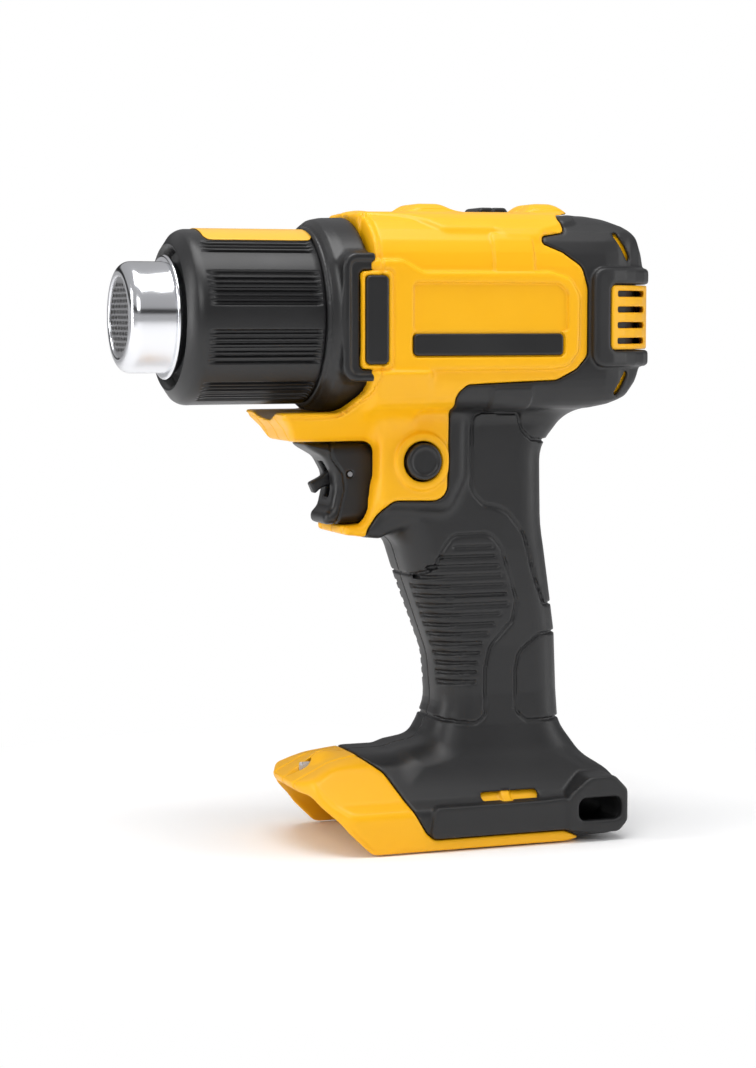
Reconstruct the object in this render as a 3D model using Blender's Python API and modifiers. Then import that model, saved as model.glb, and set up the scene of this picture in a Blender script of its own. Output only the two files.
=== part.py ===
# Cordless heat gun as an assembly of separate pieces.
# Sizes and places are in millimetres; the makers below turn them into metres.
# +Z is up, the nozzle points to -X, and the two housing halves meet at Y = 0.
# The tool stands on its foot at Z = 0, and its left side is at -Y.

import bmesh
import bpy
from math import ceil, cos, hypot, pi, radians, sin, tan
from mathutils import Matrix, Vector

mm = 0.001

# Clearances and walls
gap = 0.3
runningGap = 0.5
wall = 2.4
skin = 2.2

# Overall sizes
barrelZ = 201
nozzleTip = -105
headRear = 105
headHalf = 37
footHalf = 36.5

# Head
headFront = -17.4
headTop = barrelZ + 38.8
headBottom = barrelZ - 36
headTopRadius = 24
headCornerRadius = 31
bumperRaise = 1.2

# Neck, handle and foot
neckHalf = 22.5
handleHalf = 18
neckRear = 20
triggerRoof = barrelZ - 46.6
triggerFloor = barrelZ - 78.1
footTop = 36
footSideTop = 18
footRear = 86.3
dockHalf = 32.5
dockTop = 16
dockRear = 60
railDepth = 4.5

# Barrel
nozzleRadius = 20.6
nozzleWall = 1.2
guardFront = -86
guardRadius = 32.6
guardInner = 29.5
guardMouth = 25.3
collarRadius = 37.4
collarFront = -34.7
collarInner = 30.3

# Fan and motor
ductRadius = 27.5
ductWall = 2
ductRear = 22.2
motorRadius = 14.5
motorFront = 14
motorRear = 54
shaftRadius = 1.15

# Controls
buttonX = 6.5
buttonZ = barrelZ - 54
buttonRadius = 7
triggerHalf = 10.5
triggerRear = -5
triggerTravel = 6
leverPinX = -18
leverPinZ = barrelZ - 59
sliderX = 41.3
sliderHalfLength = 7
sliderTravel = 2

# Vent window at the rear
ventFront = 78.7
ventLow = barrelZ - 12.5
ventHigh = barrelZ + 12.5
ventSlots = 4
ventSlotHeight = 2
ventSlotPitch = 5.9

# Screws: x, z and the height of the screw head above the parting plane
screwRadius = 1.5
screwHeadRadius = 3
bossRadius = 3.6
screws = [
    (-8, headTop - 7.5, headHalf - 19),
    (78, headTop - 8.5, headHalf - 19),
    (2, headBottom + 1.2, 12),
    (76, headBottom + 6.5, headHalf - 19),
    (22, barrelZ - 91, 10),
    (42, 60, 10),
    (64, footTop - 10, 14),
]

# Trims, switch, lamp, terminals and boards
padFront, padRear = -21.9, -12
padLow, padHigh = barrelZ - 17.4, barrelZ + 15.6
stripFront, stripRear = -2.5, 57.7
stripLow, stripHigh = barrelZ - 14, barrelZ - 5.8
springZ = triggerFloor + 10.5
switchFront = triggerRear + triggerTravel + 0.8
lampRadius, lampZ = 2.3, 29
terminalFront, terminalRear, terminalHalf = 42, 58, 20
terminalTop = dockTop + wall + 2.4
boardTop = barrelZ - 41
boardBottom = barrelZ - 96


# ---- Outlines ----

def grown(corners, distance):
    """Corners (a, b, radius) of a counterclockwise outline, moved outwards by a distance."""
    moved = []
    for i, (a, b, radius) in enumerate(corners):
        before = Vector(corners[i - 1][:2])
        here = Vector((a, b))
        after = Vector(corners[(i + 1) % len(corners)][:2])
        first = (here - before).normalized()
        second = (after - here).normalized()
        normals = Vector((first.y + second.y, -first.x - second.x))
        shift = normals * (distance / (1 + first.dot(second)))
        turn = first.x * second.y - first.y * second.x
        change = distance if turn > 0 else -distance
        moved.append((a + shift.x, b + shift.y, max(radius + change, 0.2)))
    return moved


def rounded(corners, stepAngle=30):
    """Points of an outline whose corners are replaced by arcs of their radius."""
    points = []
    for i, (a, b, radius) in enumerate(corners):
        here = Vector((a, b))
        towards = Vector(corners[i - 1][:2]) - here
        onwards = Vector(corners[(i + 1) % len(corners)][:2]) - here
        turn = pi - towards.angle(onwards)
        reach = min(radius * tan(turn / 2), 0.47 * towards.length, 0.47 * onwards.length)
        if reach < 0.02:
            points.append((a, b))
            continue
        start = here + towards.normalized() * reach
        end = here + onwards.normalized() * reach
        steps = max(1, ceil(turn / radians(stepAngle)))
        bulge = cos(turn / 2)
        for k in range(steps + 1):
            t = k / steps
            weights = ((1 - t) ** 2, 2 * t * (1 - t) * bulge, t ** 2)
            total = sum(weights)
            point = (start * weights[0] + here * weights[1] + end * weights[2]) / total
            points.append((point.x, point.y))
    return points


# ---- Makers ----

planes = {
    "XZ": Matrix(((1, 0, 0, 0), (0, 0, -1, 0), (0, 1, 0, 0), (0, 0, 0, 1))),
    "YZ": Matrix(((0, 0, 1, 0), (1, 0, 0, 0), (0, 1, 0, 0), (0, 0, 0, 1))),
    "XY": Matrix.Identity(4),
}


def clearScene():
    for obj in list(bpy.data.objects):
        bpy.data.objects.remove(obj, do_unlink=True)


def newCollection(name):
    collection = bpy.data.collections.new(name)
    bpy.context.scene.collection.children.link(collection)
    return collection


def finish(name, colour, roughness, metallic=0.0):
    """A Principled material; its colour is linear."""
    material = bpy.data.materials.new(name)
    material.use_nodes = True
    shader = material.node_tree.nodes["Principled BSDF"]
    shader.inputs["Base Color"].default_value = (*colour, 1)
    shader.inputs["Roughness"].default_value = roughness
    shader.inputs["Metallic"].default_value = metallic
    return material


def place(obj, material=None):
    """Puts a part in the part collection with its material."""
    parts.objects.link(obj)
    if material:
        obj.data.materials.append(material)
    return obj


def smooth(mesh, angle=35):
    mesh.shade_smooth()
    mesh.set_sharp_from_angle(angle=radians(angle))


def tidyMesh(mesh):
    work = bmesh.new()
    work.from_mesh(mesh)
    bmesh.ops.remove_doubles(work, verts=work.verts, dist=1e-6)
    bmesh.ops.recalc_face_normals(work, faces=work.faces)
    work.to_mesh(mesh)
    work.free()


def fromCurve(curveObject, name):
    """A mesh object in the place of a curve, with the curve's caps welded on."""
    bpy.context.scene.collection.objects.link(curveObject)
    bpy.context.view_layer.update()
    graph = bpy.context.evaluated_depsgraph_get()
    mesh = bpy.data.meshes.new_from_object(curveObject.evaluated_get(graph))
    mesh.transform(curveObject.matrix_world)
    curve = curveObject.data
    bpy.data.objects.remove(curveObject, do_unlink=True)
    bpy.data.curves.remove(curve)
    tidyMesh(mesh)
    smooth(mesh)
    mesh.name = name
    mesh.materials.clear()
    return bpy.data.objects.new(name, mesh)


def slab(name, corners, low, high, plane="XZ", edge=0.0, material=None):
    """An outline given by corners or plain points, extruded from low to high, its rims rounded by edge."""
    if len(corners[0]) == 3:
        corners = rounded(grown(corners, -edge) if edge else corners)
    curve = bpy.data.curves.new(name, "CURVE")
    curve.dimensions = "2D"
    curve.fill_mode = "BOTH"
    curve.extrude = ((high - low) / 2 - edge) * mm
    curve.bevel_depth = edge * mm
    curve.bevel_resolution = 1
    spline = curve.splines.new("POLY")
    spline.points.add(len(corners) - 1)
    for point, (a, b) in zip(spline.points, corners):
        point.co = (a * mm, b * mm, 0, 1)
    spline.use_cyclic_u = True
    holder = bpy.data.objects.new(name, curve)
    middle = planes[plane] @ Vector((0, 0, 1))
    sign = middle.x + middle.y + middle.z
    centre = middle * sign * (low + high) / 2 * mm
    holder.matrix_world = Matrix.Translation(centre) @ planes[plane]
    obj = fromCurve(holder, name)
    return place(obj, material) if material else obj


def meshObject(name, work, material=None):
    mesh = bpy.data.meshes.new(name)
    bmesh.ops.recalc_face_normals(work, faces=work.faces)
    work.to_mesh(mesh)
    work.free()
    smooth(mesh)
    obj = bpy.data.objects.new(name, mesh)
    return place(obj, material) if material else obj


def block(name, low, high, material=None, edge=0.0):
    """A box between two corners."""
    work = bmesh.new()
    bmesh.ops.create_cube(work, size=1)
    size = [(b - a) * mm for a, b in zip(low, high)]
    centre = [(a + b) / 2 * mm for a, b in zip(low, high)]
    bmesh.ops.scale(work, vec=size, verts=work.verts)
    bmesh.ops.translate(work, vec=centre, verts=work.verts)
    if edge:
        bmesh.ops.bevel(work, geom=work.edges[:], offset=edge * mm, segments=2,
                        profile=0.5, affect="EDGES")
    return meshObject(name, work, material)


def rod(name, radius, start, end, material=None, count=16, endRadius=None):
    """A cylinder, or a cone with endRadius, between two points."""
    start, end = Vector(start) * mm, Vector(end) * mm
    along = end - start
    work = bmesh.new()
    bmesh.ops.create_cone(
        work, cap_ends=True, segments=count, radius1=radius * mm,
        radius2=(radius if endRadius is None else endRadius) * mm, depth=along.length,
    )
    turn = Vector((0, 0, 1)).rotation_difference(along).to_matrix().to_4x4()
    bmesh.ops.transform(work, matrix=Matrix.Translation((start + end) / 2) @ turn, verts=work.verts)
    return meshObject(name, work, material)


def turned(name, profile, material=None, steps=32):
    """A closed profile of (x, radius) points, turned about the barrel axis."""
    count = len(profile)
    area = sum(
        profile[k][1] * profile[(k + 1) % count][0] - profile[(k + 1) % count][1] * profile[k][0]
        for k in range(count)
    )
    if area > 0:
        profile = profile[::-1]
    onAxis = profile[0][1] == 0 and profile[-1][1] == 0
    work = bmesh.new()
    verts = [work.verts.new((radius * mm, 0, x * mm)) for x, radius in profile]
    for k in range(count - 1 if onAxis else count):
        work.edges.new((verts[k], verts[(k + 1) % count]))
    mesh = bpy.data.meshes.new(name)
    work.to_mesh(mesh)
    work.free()
    obj = bpy.data.objects.new(name, mesh)
    obj.matrix_world = Matrix.Translation((0, 0, barrelZ * mm)) @ Matrix.Rotation(pi / 2, 4, "Y")
    screw = obj.modifiers.new("Turn", "SCREW")
    screw.steps = steps
    screw.render_steps = steps
    screw.use_merge_vertices = True
    screw.merge_threshold = 1e-6
    screw.use_smooth_shade = True
    return place(obj, material) if material else obj


def wire(name, path, radius, material, perSpan=3):
    """A lead on a smooth line through its points."""
    points = [Vector(p) for p in path]
    line = []
    for k in range(len(points) - 1):
        a = points[max(k - 1, 0)]
        b, c = points[k], points[k + 1]
        d = points[min(k + 2, len(points) - 1)]
        for step in range(perSpan):
            t = step / perSpan
            line.append(
                0.5 * (2 * b + (c - a) * t + (2 * a - 5 * b + 4 * c - d) * t * t
                       + (3 * b - a - 3 * c + d) * t ** 3)
            )
    line.append(points[-1])
    return tube(name, line, radius, material)


def tube(name, line, radius, material):
    curve = bpy.data.curves.new(name, "CURVE")
    curve.dimensions = "3D"
    curve.bevel_depth = radius * mm
    curve.bevel_resolution = 2
    curve.use_fill_caps = True
    spline = curve.splines.new("POLY")
    spline.points.add(len(line) - 1)
    for point, where in zip(spline.points, line):
        point.co = (*(Vector(where) * mm), 1)
    return place(bpy.data.objects.new(name, curve), material)


# The exact solver leaves seams open where many rounded slabs cross, as in these.
shells = (
    "outside", "core", "cavity", "whole_housing", "recess", "housing_", "overmo", "fan_", "board_bulk",
    "motor_bulk", "rear_vent", "bulkhead", "vent_", "upper_", "lower_",
)


def combine(part, tool, operation="DIFFERENCE"):
    """Adds a Boolean of the tool to the part, and keeps the tool with the cutters."""
    modifier = part.modifiers.new(tool.name, "BOOLEAN")
    modifier.operation = operation
    modifier.solver = "MANIFOLD" if part.name.startswith(shells) else "EXACT"
    modifier.object = tool
    if tool.name not in cutters.objects:
        cutters.objects.link(tool)
    tool.hide_render = True
    tool.display_type = "WIRE"
    return part


def join(part, tool):
    return combine(part, tool, "UNION")


def common(part, tool):
    return combine(part, tool, "INTERSECT")


def helper(obj):
    """Keeps a shape that other pieces are made from with the cutters."""
    cutters.objects.link(obj)
    obj.hide_render = True
    obj.display_type = "WIRE"
    return obj


def bored(part, name, radius, start, end, count=16):
    return combine(part, rod(name, radius, start, end, count=count))


# ---- Shapes that the housing, the overmould and the cavity share ----

def headShape(name, grow):
    """The head's round box, grown by a distance on every side."""
    side = [
        (headFront, headBottom, 3), (headRear, headBottom, 20),
        (headRear, headTop, 22), (headFront, headTop, 3),
    ]
    # Each flat belongs to one outline only; the others pass it by this much, so no two faces coincide.
    past = 0.8
    plan = [
        (headFront - past, -headHalf - past, 2), (headRear + past, -headHalf - past, headCornerRadius),
        (headRear + past, headHalf + past, headCornerRadius), (headFront - past, headHalf + past, 2),
    ]
    section = [
        (-headHalf, headBottom - past, 14), (headHalf, headBottom - past, 14),
        (headHalf, headTop + past, headTopRadius), (-headHalf, headTop + past, headTopRadius),
    ]
    reach = headHalf + 20
    shape = slab(name, grown(section, grow), headFront - 20, headRear + 20, "YZ")
    common(shape, slab(name + "_side", grown(side, grow), -reach, reach, "XZ"))
    common(shape, slab(name + "_plan", grown(plan, grow), headBottom - 20, headTop + 20, "XY"))
    return shape


def neckShape(name, grow):
    corners = [
        (-10.3, triggerFloor + 6, 1), (neckRear - 2, triggerFloor + 6, 4), (neckRear, triggerFloor + 12, 4),
        (neckRear, headBottom + 12, 1), (headFront, headBottom + 12, 1),
        (headFront, headBottom + 1, 0.5), (-50.3, headBottom + 1, 1.5),
        (-44, triggerRoof, 5), (-10.3, triggerRoof, 6),
    ]
    return slab(name, grown(corners, grow), -neckHalf - grow, neckHalf + grow, "XZ", 3 + grow)


def handleShape(name, grow):
    """The grip, from inside the head down into the foot."""
    corners = [
        (6, 28, 2), (80, 26, 3), (68, 44, 12), (67, 80, 40), (60, barrelZ - 73, 60),
        (61, barrelZ - 51, 12), (78, headBottom + 8, 8), (78, headBottom + 15, 2),
        (10, headBottom + 15, 2), (10, barrelZ - 60, 3), (-9, barrelZ - 62, 2),
        (-8, barrelZ - 81, 3), (3, barrelZ - 82.5, 7), (6, barrelZ - 101, 40),
        (17.5, 70, 30), (18, 48, 12), (12, 38, 5),
    ]
    return slab(name, grown(corners, grow), -handleHalf - grow, handleHalf + grow, "XZ", 5 + grow)


def footShape(name, grow):
    side = [
        (-17.5, 0, 4), (62, 0, 3), (72, 3.5, 4), (footRear, 3.5, 9), (footRear, 25.5, 9),
        (70, 29, 6), (60, footTop, 4), (-15, footTop, 4), (-27, footTop - 3, 8), (-43, 25.5, 2),
    ]
    section = [
        (-footHalf, -1, 0.5), (footHalf, -1, 0.5), (footHalf, footSideTop, 6), (20, footTop + 1, 10),
        (-20, footTop + 1, 10), (-footHalf, footSideTop, 6),
    ]
    shape = slab(name, grown(side, grow), -footHalf - 10, footHalf + 10, "XZ")
    common(shape, slab(name + "_section", grown(section, grow), -80, footRear + 40, "YZ"))
    return shape


def bodyShape(name, grow):
    """Head, neck, handle and foot in one, grown by a distance on every side."""
    body = headShape(name, grow)
    join(body, neckShape(name + "_neck", grow))
    join(body, handleShape(name + "_handle", grow))
    join(body, footShape(name + "_foot", grow))
    return helper(body)


def gripZone(name, grow):
    """Where the soft overmould covers the body, seen from the side."""
    corners = [
        (6.5, 5, 2), (66, 5, 2), (70, -4, 1), (headRear + 15, -4, 1),
        (headRear + 15, headTop + 12, 1), (76, headTop + 12, 1), (76, barrelZ + 28, 2),
        (66, barrelZ + 20, 3), (68.5, barrelZ + 11, 4), (68.5, barrelZ - 14, 4),
        (58, barrelZ - 24, 4), (17.3, barrelZ - 25, 3), (17.3, barrelZ - 65, 3),
        (13, barrelZ - 69.6, 3), (-7.2, barrelZ - 69.6, 1), (-7.2, barrelZ - 83.5, 1),
        (-25, barrelZ - 90, 1), (-25, 42, 1), (-16, 33.5, 2), (-9, 27, 3), (2.5, 8, 3),
    ]
    reach = footHalf + 15
    return slab(name, grown(corners, grow), -reach, reach, "XZ")


def ventBox(name, grow):
    """The window that the rear vent cage fills."""
    return block(
        name,
        (ventFront - grow, -headHalf - 10, ventLow - grow),
        (headRear + 10, headHalf + 10, ventHigh + grow),
    )


def halfSpace(name, side):
    """One side of the parting plane, less half the gap between the halves."""
    low, high = sorted((side * gap / 2, side * 90))
    return block(name, (-140, low, -30), (140, high, headTop + 40))


# ---- Housing ----

def wholeOutside():
    """The outer shape before it is hollowed: body, humps on top, bumper bars, pad frames and boss."""
    outside = bodyShape("outside", 0)
    tail = [
        (-21, triggerFloor - 2.9, 0.5), (-10, triggerFloor - 2.9, 2), (-7.5, triggerFloor + 1, 1),
        (-7.5, triggerFloor + 10, 0.3), (-10.3, triggerFloor + 10, 0.3),
        (-10.3, triggerFloor + 3, 1), (-12, triggerFloor - 0.4, 1), (-21, triggerFloor - 0.4, 0.5),
    ]
    join(outside, slab("trigger_tail", tail, -14, 14))
    humps = [
        ("nub", -17, -4, 1.3, 8), ("front_hump", 4, 31, 4, 13), ("rear_hump", 50.6, 75, 4.8, 13),
    ]
    for name, start, end, rise, half in humps:
        hump = [
            (start, headTop - 4, 1), (end, headTop - 4, 1), (end - 3, headTop + rise, 2.5),
            (start + 4, headTop + rise, 2.5),
        ]
        join(outside, slab(name, hump, -half, half, "XZ"))
    for name, low in (("upper_bumper", ventHigh), ("lower_bumper", ventLow - 6)):
        bar = headShape(name, bumperRaise)
        common(bar, block(name + "_band", (72, -60, low), (headRear - 6, 60, low + 6)))
        join(outside, bar)
    for side in (-1, 1):
        low, high = sorted((side * 30, side * (headHalf + 1.3)))
        frame = block(
            f"pad_frame_{side}", (padFront - 1.2, low, padLow - 1.2), (padRear + 0.8, high, padHigh + 1.2),
            edge=0.6,
        )
        join(outside, frame)
    join(outside, rod("button_boss", 10.5, (buttonX, -neckHalf - 1.8, buttonZ),
                      (buttonX, neckHalf + 1.8, buttonZ), count=28))
    return outside


def cavityShape():
    """The hollow inside the housing."""
    inset = skin + wall
    cavity = headShape("cavity", -inset)
    neck = [
        (-7.9, triggerFloor + 8, 2), (14, triggerFloor + 8, 2), (14, headBottom + 17, 1),
        (-12.8, headBottom + 17, 1), (-12.8, headBottom - 4.2, 1), (-43, headBottom - 4.2, 1),
        (-41, triggerRoof + 2.6, 1.5), (-7.9, triggerRoof + 2.6, 3),
    ]
    join(cavity, slab("cavity_neck", neck, -neckHalf + wall, neckHalf - wall))
    join(cavity, handleShape("cavity_handle", -inset))
    foot = footShape("cavity_foot", -inset)
    combine(foot, block("cavity_foot_floor", (-90, -60, -20), (120, 60, dockTop + wall)))
    combine(foot, block("cavity_foot_front", (-90, -60, -20), (-17, 60, 60)))
    join(cavity, foot)
    return helper(cavity)


def dockCutter():
    """The bay under the foot that a battery slides into from the front."""
    side = [
        (-70, -10, 1), (dockRear, -10, 1), (dockRear, dockTop, 1), (-22, dockTop, 4),
        (-36, dockTop + 6.5, 3), (-70, dockTop + 6.5, 1),
    ]
    return slab("dock", side, -dockHalf, dockHalf)


def hookCutter():
    side = [(65.5, 8.3, 3), (83.3, 8.3, 3), (83.3, 17.2, 3), (65.5, 17.2, 3)]
    return slab("hook_slot", side, -footHalf - 10, footHalf + 10)


def buildHousing():
    outside = wholeOutside()
    whole = helper(block("whole_housing", (10, -2, headTop - 4), (14, 2, headTop - 2)))
    core = bodyShape("core", -skin)
    recess = gripZone("recess", 0)
    combine(recess, core)
    cavity = cavityShape()
    join(whole, outside)
    combine(whole, recess)
    combine(whole, cavity)
    combine(whole, dockCutter())
    for side in (-1, 1):
        low, high = sorted((side * (dockHalf - railDepth), side * (dockHalf + 1)))
        join(whole, block(f"rail_{side}", (-8, low, 4), (dockRear + 1, high, 7.5)))
    innerCore = headShape("bulkhead_limit", -skin - 0.6)
    plates = [("fan_bulkhead", 0, 2.5), ("board_bulkhead", 20, 22.5), ("motor_bulkhead", 56, 58.5)]
    for name, start, end in plates:
        plate = block(name, (start, -60, headBottom - 10), (end, 60, headTop + 10))
        common(plate, innerCore)
        join(whole, plate)
    bored(whole, "duct_bore", ductRadius + gap, (headFront - 5, 0, barrelZ), (ductRear + 1.5, 0, barrelZ), 32)
    bored(whole, "motor_bore", motorRadius + gap, (50, 0, barrelZ), (62, 0, barrelZ), 32)
    collarRoom = max(collarRadius, guardRadius) + gap
    bored(whole, "collar_room", collarRoom, (-70, 0, barrelZ), (headFront, 0, barrelZ), 40)
    combine(whole, block("lead_notch", (headFront - 8, -8, headBottom + 4.8), (24, 8, headBottom + 12)))
    for x, z, top in screws:
        reach = top + 5
        join(whole, rod(f"boss_{x}_{z:.0f}", bossRadius, (x, -reach, z), (x, reach, z), count=12))
    for side in (-1, 1):
        low, high = sorted((side * (9 + gap), side * (neckHalf - 1)))
        join(whole, block(f"switch_rib_{side}", (9, low, triggerFloor + 9), (11.4, high, triggerFloor + 15)))
    for x in (33, 49):
        join(whole, block(f"board_rib_{x}", (x, 7.6 + gap, barrelZ - 90), (x + 2.4, handleHalf - skin - 1, barrelZ - 45)))
    cutControls(whole)
    return whole, outside, core


def cutControls(whole):
    """Openings for the trigger, the button, the slider, the lamp, the terminals and the trims."""
    side = triggerHalf + runningGap
    combine(whole, block("trigger_slot", (-20, -side, triggerFloor), (4, side, triggerRoof)))
    bored(whole, "button_bore", buttonRadius + runningGap, (buttonX, -40, buttonZ), (buttonX, 40, buttonZ), 28)
    reach = sliderHalfLength + sliderTravel + runningGap
    combine(whole, block("slider_slot", (sliderX - reach, -8 - runningGap, headTop - 8),
                         (sliderX + reach, 8 + runningGap, headTop + 20)))
    bored(whole, "lamp_bore", lampRadius + gap, (-50, 0, lampZ), (-15, 0, lampZ))
    combine(whole, block("terminal_window",
                         (terminalFront - gap, -terminalHalf - gap, dockTop - 2),
                         (terminalRear + gap, terminalHalf + gap, dockTop + wall + 2)))
    combine(whole, ventBox("vent_window", 0))
    combine(whole, hookCutter())
    for side in (-1, 1):
        for name, x0, x1, z0, z1, deep in (
            ("pad_pocket", padFront, padRear, padLow, padHigh, headHalf - 0.9),
            ("strip_pocket", stripFront, stripRear, stripLow, stripHigh, headHalf - 1),
        ):
            low, high = sorted((side * deep, side * (headHalf + 10)))
            combine(whole, block(f"{name}_{side}", (x0 - gap, low, z0 - gap), (x1 + gap, high, z1 + gap)))
    for x, z, top in screws:
        bored(whole, f"screw_bore_{x}_{z:.0f}", screwRadius + gap, (x, -top + 2, z), (x, top + 12, z), 10)
        bored(whole, f"screw_pocket_{x}_{z:.0f}", screwHeadRadius + gap, (x, top - gap, z), (x, 60, z), 12)


def splitHousing(whole):
    for name, side in (("housing_left", -1), ("housing_right", 1)):
        half = halfSpace(name, side)
        place(half, yellowNylon)
        common(half, whole)


def buildOvermould(outside, core):
    """A soft skin that fills the recess in each housing half."""
    zone = gripZone("overmould_zone", -gap)
    coreRoom = bodyShape("core_room", -skin + gap)
    soft = helper(zone)
    common(soft, outside)
    combine(soft, coreRoom)
    combine(soft, ventBox("overmould_vent", gap))
    combine(soft, bpy.data.objects["hook_slot"])
    combine(soft, bpy.data.objects["dock"])
    combine(soft, bpy.data.objects["trigger_slot"])
    for x, z, top in screws:
        combine(soft, bpy.data.objects[f"screw_pocket_{x}_{z:.0f}"])
    for name, side in (("overmold_left", -1), ("overmold_right", 1)):
        half = halfSpace(name, side)
        place(half, blackRubber)
        common(half, soft)


def buildScrews():
    for number, (x, z, top) in enumerate(screws, 1):
        screw = rod(f"housing_screw_{number}", screwRadius, (x, -top + 3, z), (x, top + 0.6, z), steel, 10)
        head = rod(f"screw_head_{number}", screwHeadRadius, (x, top, z), (x, top + 2.2, z), count=12)
        combine(head, rod(f"screw_drive_{number}", 1.3, (x, top + 1, z), (x, top + 5, z), count=6))
        join(screw, head)


def buildTrims():
    for word, side in (("left", -1), ("right", 1)):
        low, high = sorted((side * (headHalf - 0.6), side * (headHalf + 1.6)))
        block(f"side_pad_{word}", (padFront, low, padLow), (padRear, high, padHigh), blackNylon, edge=0.5)
        low, high = sorted((side * (headHalf - 0.7), side * (headHalf - 0.1)))
        block(f"badge_strip_{word}", (stripFront, low, stripLow), (stripRear, high, stripHigh), blackNylon)


def buildVentCage():
    """A slotted band that closes the air inlet round the rear of the head."""
    cage = headShape("rear_vent_cage", -0.4)
    place(cage, yellowNylon)
    common(cage, ventBox("vent_fit", -gap))
    combine(cage, headShape("vent_hollow", -skin - wall))
    first = barrelZ - (ventSlots - 1) / 2 * ventSlotPitch
    for k in range(ventSlots):
        middle = first + k * ventSlotPitch
        for side in (-1, 1):
            low, high = sorted((side * 12, side * 60))
            slot = block(
                f"vent_slot_{k}_{side}",
                (ventFront + 3, low, middle - ventSlotHeight / 2),
                (headRear + 20, high, middle + ventSlotHeight / 2),
            )
            combine(cage, slot)


# ---- Barrel ----

def buildBarrel():
    mountInner = nozzleRadius + gap
    turned("barrel_guard", [
        (collarFront - gap, guardInner), (collarFront - gap, guardRadius), (-79.4, guardRadius),
        (-83.5, guardRadius - 2.4), (guardFront, guardRadius - 4.6), (guardFront, guardMouth),
        (-80, guardMouth), (-80, mountInner), (-77, mountInner), (-77, guardInner),
    ], blackNylon, 48)
    collar = turned("front_collar", [
        (headFront - gap, collarInner), (headFront - gap, collarRadius), (-26.4, collarRadius),
        (-30.3, collarRadius - 0.6), (collarFront, collarRadius - 4), (collarFront, collarInner),
    ], blackNylon, 48)
    for side in (-1, 1):
        low, high = sorted((side * (collarRadius - 9), side * 60))
        combine(collar, block(f"collar_notch_{side}", (padFront - 1.2 - gap, low, padLow - 1.2 - gap),
                              (0, high, padHigh + 1.2 + gap)))
    labelArc = radians(62)
    points = []
    for radius, turn in ((guardRadius + gap, 1), (guardRadius + gap + 0.4, -1)):
        for k in range(13):
            angle = pi / 2 + turn * (k / 12 - 0.5) * labelArc
            points.append((radius * cos(angle), barrelZ + radius * sin(angle)))
    slab("guard_label", points, -76.5, -36.5, "YZ", material=yellowLabel)


def buildNozzle():
    inner = nozzleRadius - nozzleWall
    mouth = 14.8
    rim = [
        (nozzleTip + 4.5 - 4.5 * cos(radians(a)), nozzleRadius - 4.1 + 4.1 * sin(radians(a)))
        for a in range(0, 91, 30)
    ]
    profile = [(nozzleTip + 1.6, mouth), (nozzleTip + 0.2, mouth)] + rim + [
        (-88, nozzleRadius), (-87.6, nozzleRadius + 2.4), (-85.6, nozzleRadius + 2.4),
        (-85.2, nozzleRadius), (-62, nozzleRadius), (-62, inner), (nozzleTip + 7, inner),
        (nozzleTip + 4, mouth + 1.5), (nozzleTip + 1.6, mouth + 1.5),
    ]
    turned("nozzle", profile, chrome, 40)
    front = nozzleTip + 1.6 + gap
    grille = rod("nozzle_grille", mouth + 1.2, (front, 0, barrelZ), (front + 0.8, 0, barrelZ), steel, 48)
    pitch = 4.4
    for row in range(-4, 5):
        for column in range(-4, 5):
            y = (column + 0.5 * (row % 2)) * pitch
            z = row * pitch * sin(radians(60))
            if hypot(y, z) < mouth - 1.6:
                bored(grille, f"grille_hole_{row}_{column}", 1.4, (front - 3, y, barrelZ + z),
                      (front + 4, y, barrelZ + z), 6)


def buildHeater():
    tubeOuter = nozzleRadius - nozzleWall - gap
    turned("heat_tube", [(-96, tubeOuter - 0.8), (-96, tubeOuter), (-21, tubeOuter), (-21, tubeOuter - 0.8)],
           steel)
    sleeve = tubeOuter - 0.8 - gap
    turned("mica_sleeve", [(-95, sleeve - 0.5), (-95, sleeve), (-24, sleeve), (-24, sleeve - 0.5)], mica)
    turned("tube_mount", [(-33, tubeOuter + gap), (-33, collarInner - gap), (-22, collarInner - gap),
                          (-22, tubeOuter + gap)], ceramic)
    fin = 14.5
    thick = 1.5
    star = [
        (thick, thick), (thick, fin), (-thick, fin), (-thick, thick), (-fin, thick), (-fin, -thick),
        (-thick, -thick), (-thick, -fin), (thick, -fin), (thick, -thick), (fin, -thick), (fin, thick),
    ]
    slab("heater_core", [(a, barrelZ + b) for a, b in star], -92, -34, "YZ", material=ceramic)
    plate = turned("heater_plate", [(-33.7, 4), (-33.7, sleeve - 0.5 - gap), (-31.7, sleeve - 0.5 - gap),
                                    (-31.7, 4)], mica)
    for k in range(4):
        angle = radians(45 + 90 * k)
        y, z = 10.5 * cos(angle), barrelZ + 10.5 * sin(angle)
        bored(plate, f"air_hole_{k}", 4.2, (-40, y, z), (-25, y, z), 12)
    turns, perTurn, coilRadius = 6, 10, fin + gap + 1.2
    line = [
        (-88 + 48 * k / (turns * perTurn), coilRadius * cos(2 * pi * k / perTurn),
         barrelZ + coilRadius * sin(2 * pi * k / perTurn))
        for k in range(turns * perTurn + 1)
    ]
    tube("heater_coil", line, 0.5, steel)
    near = thick + gap + 2
    rod("thermal_cutout", 2, (-60, near, barrelZ + near), (-50, near, barrelZ + near), steel, 16)


# ---- Fan and motor ----

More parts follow.
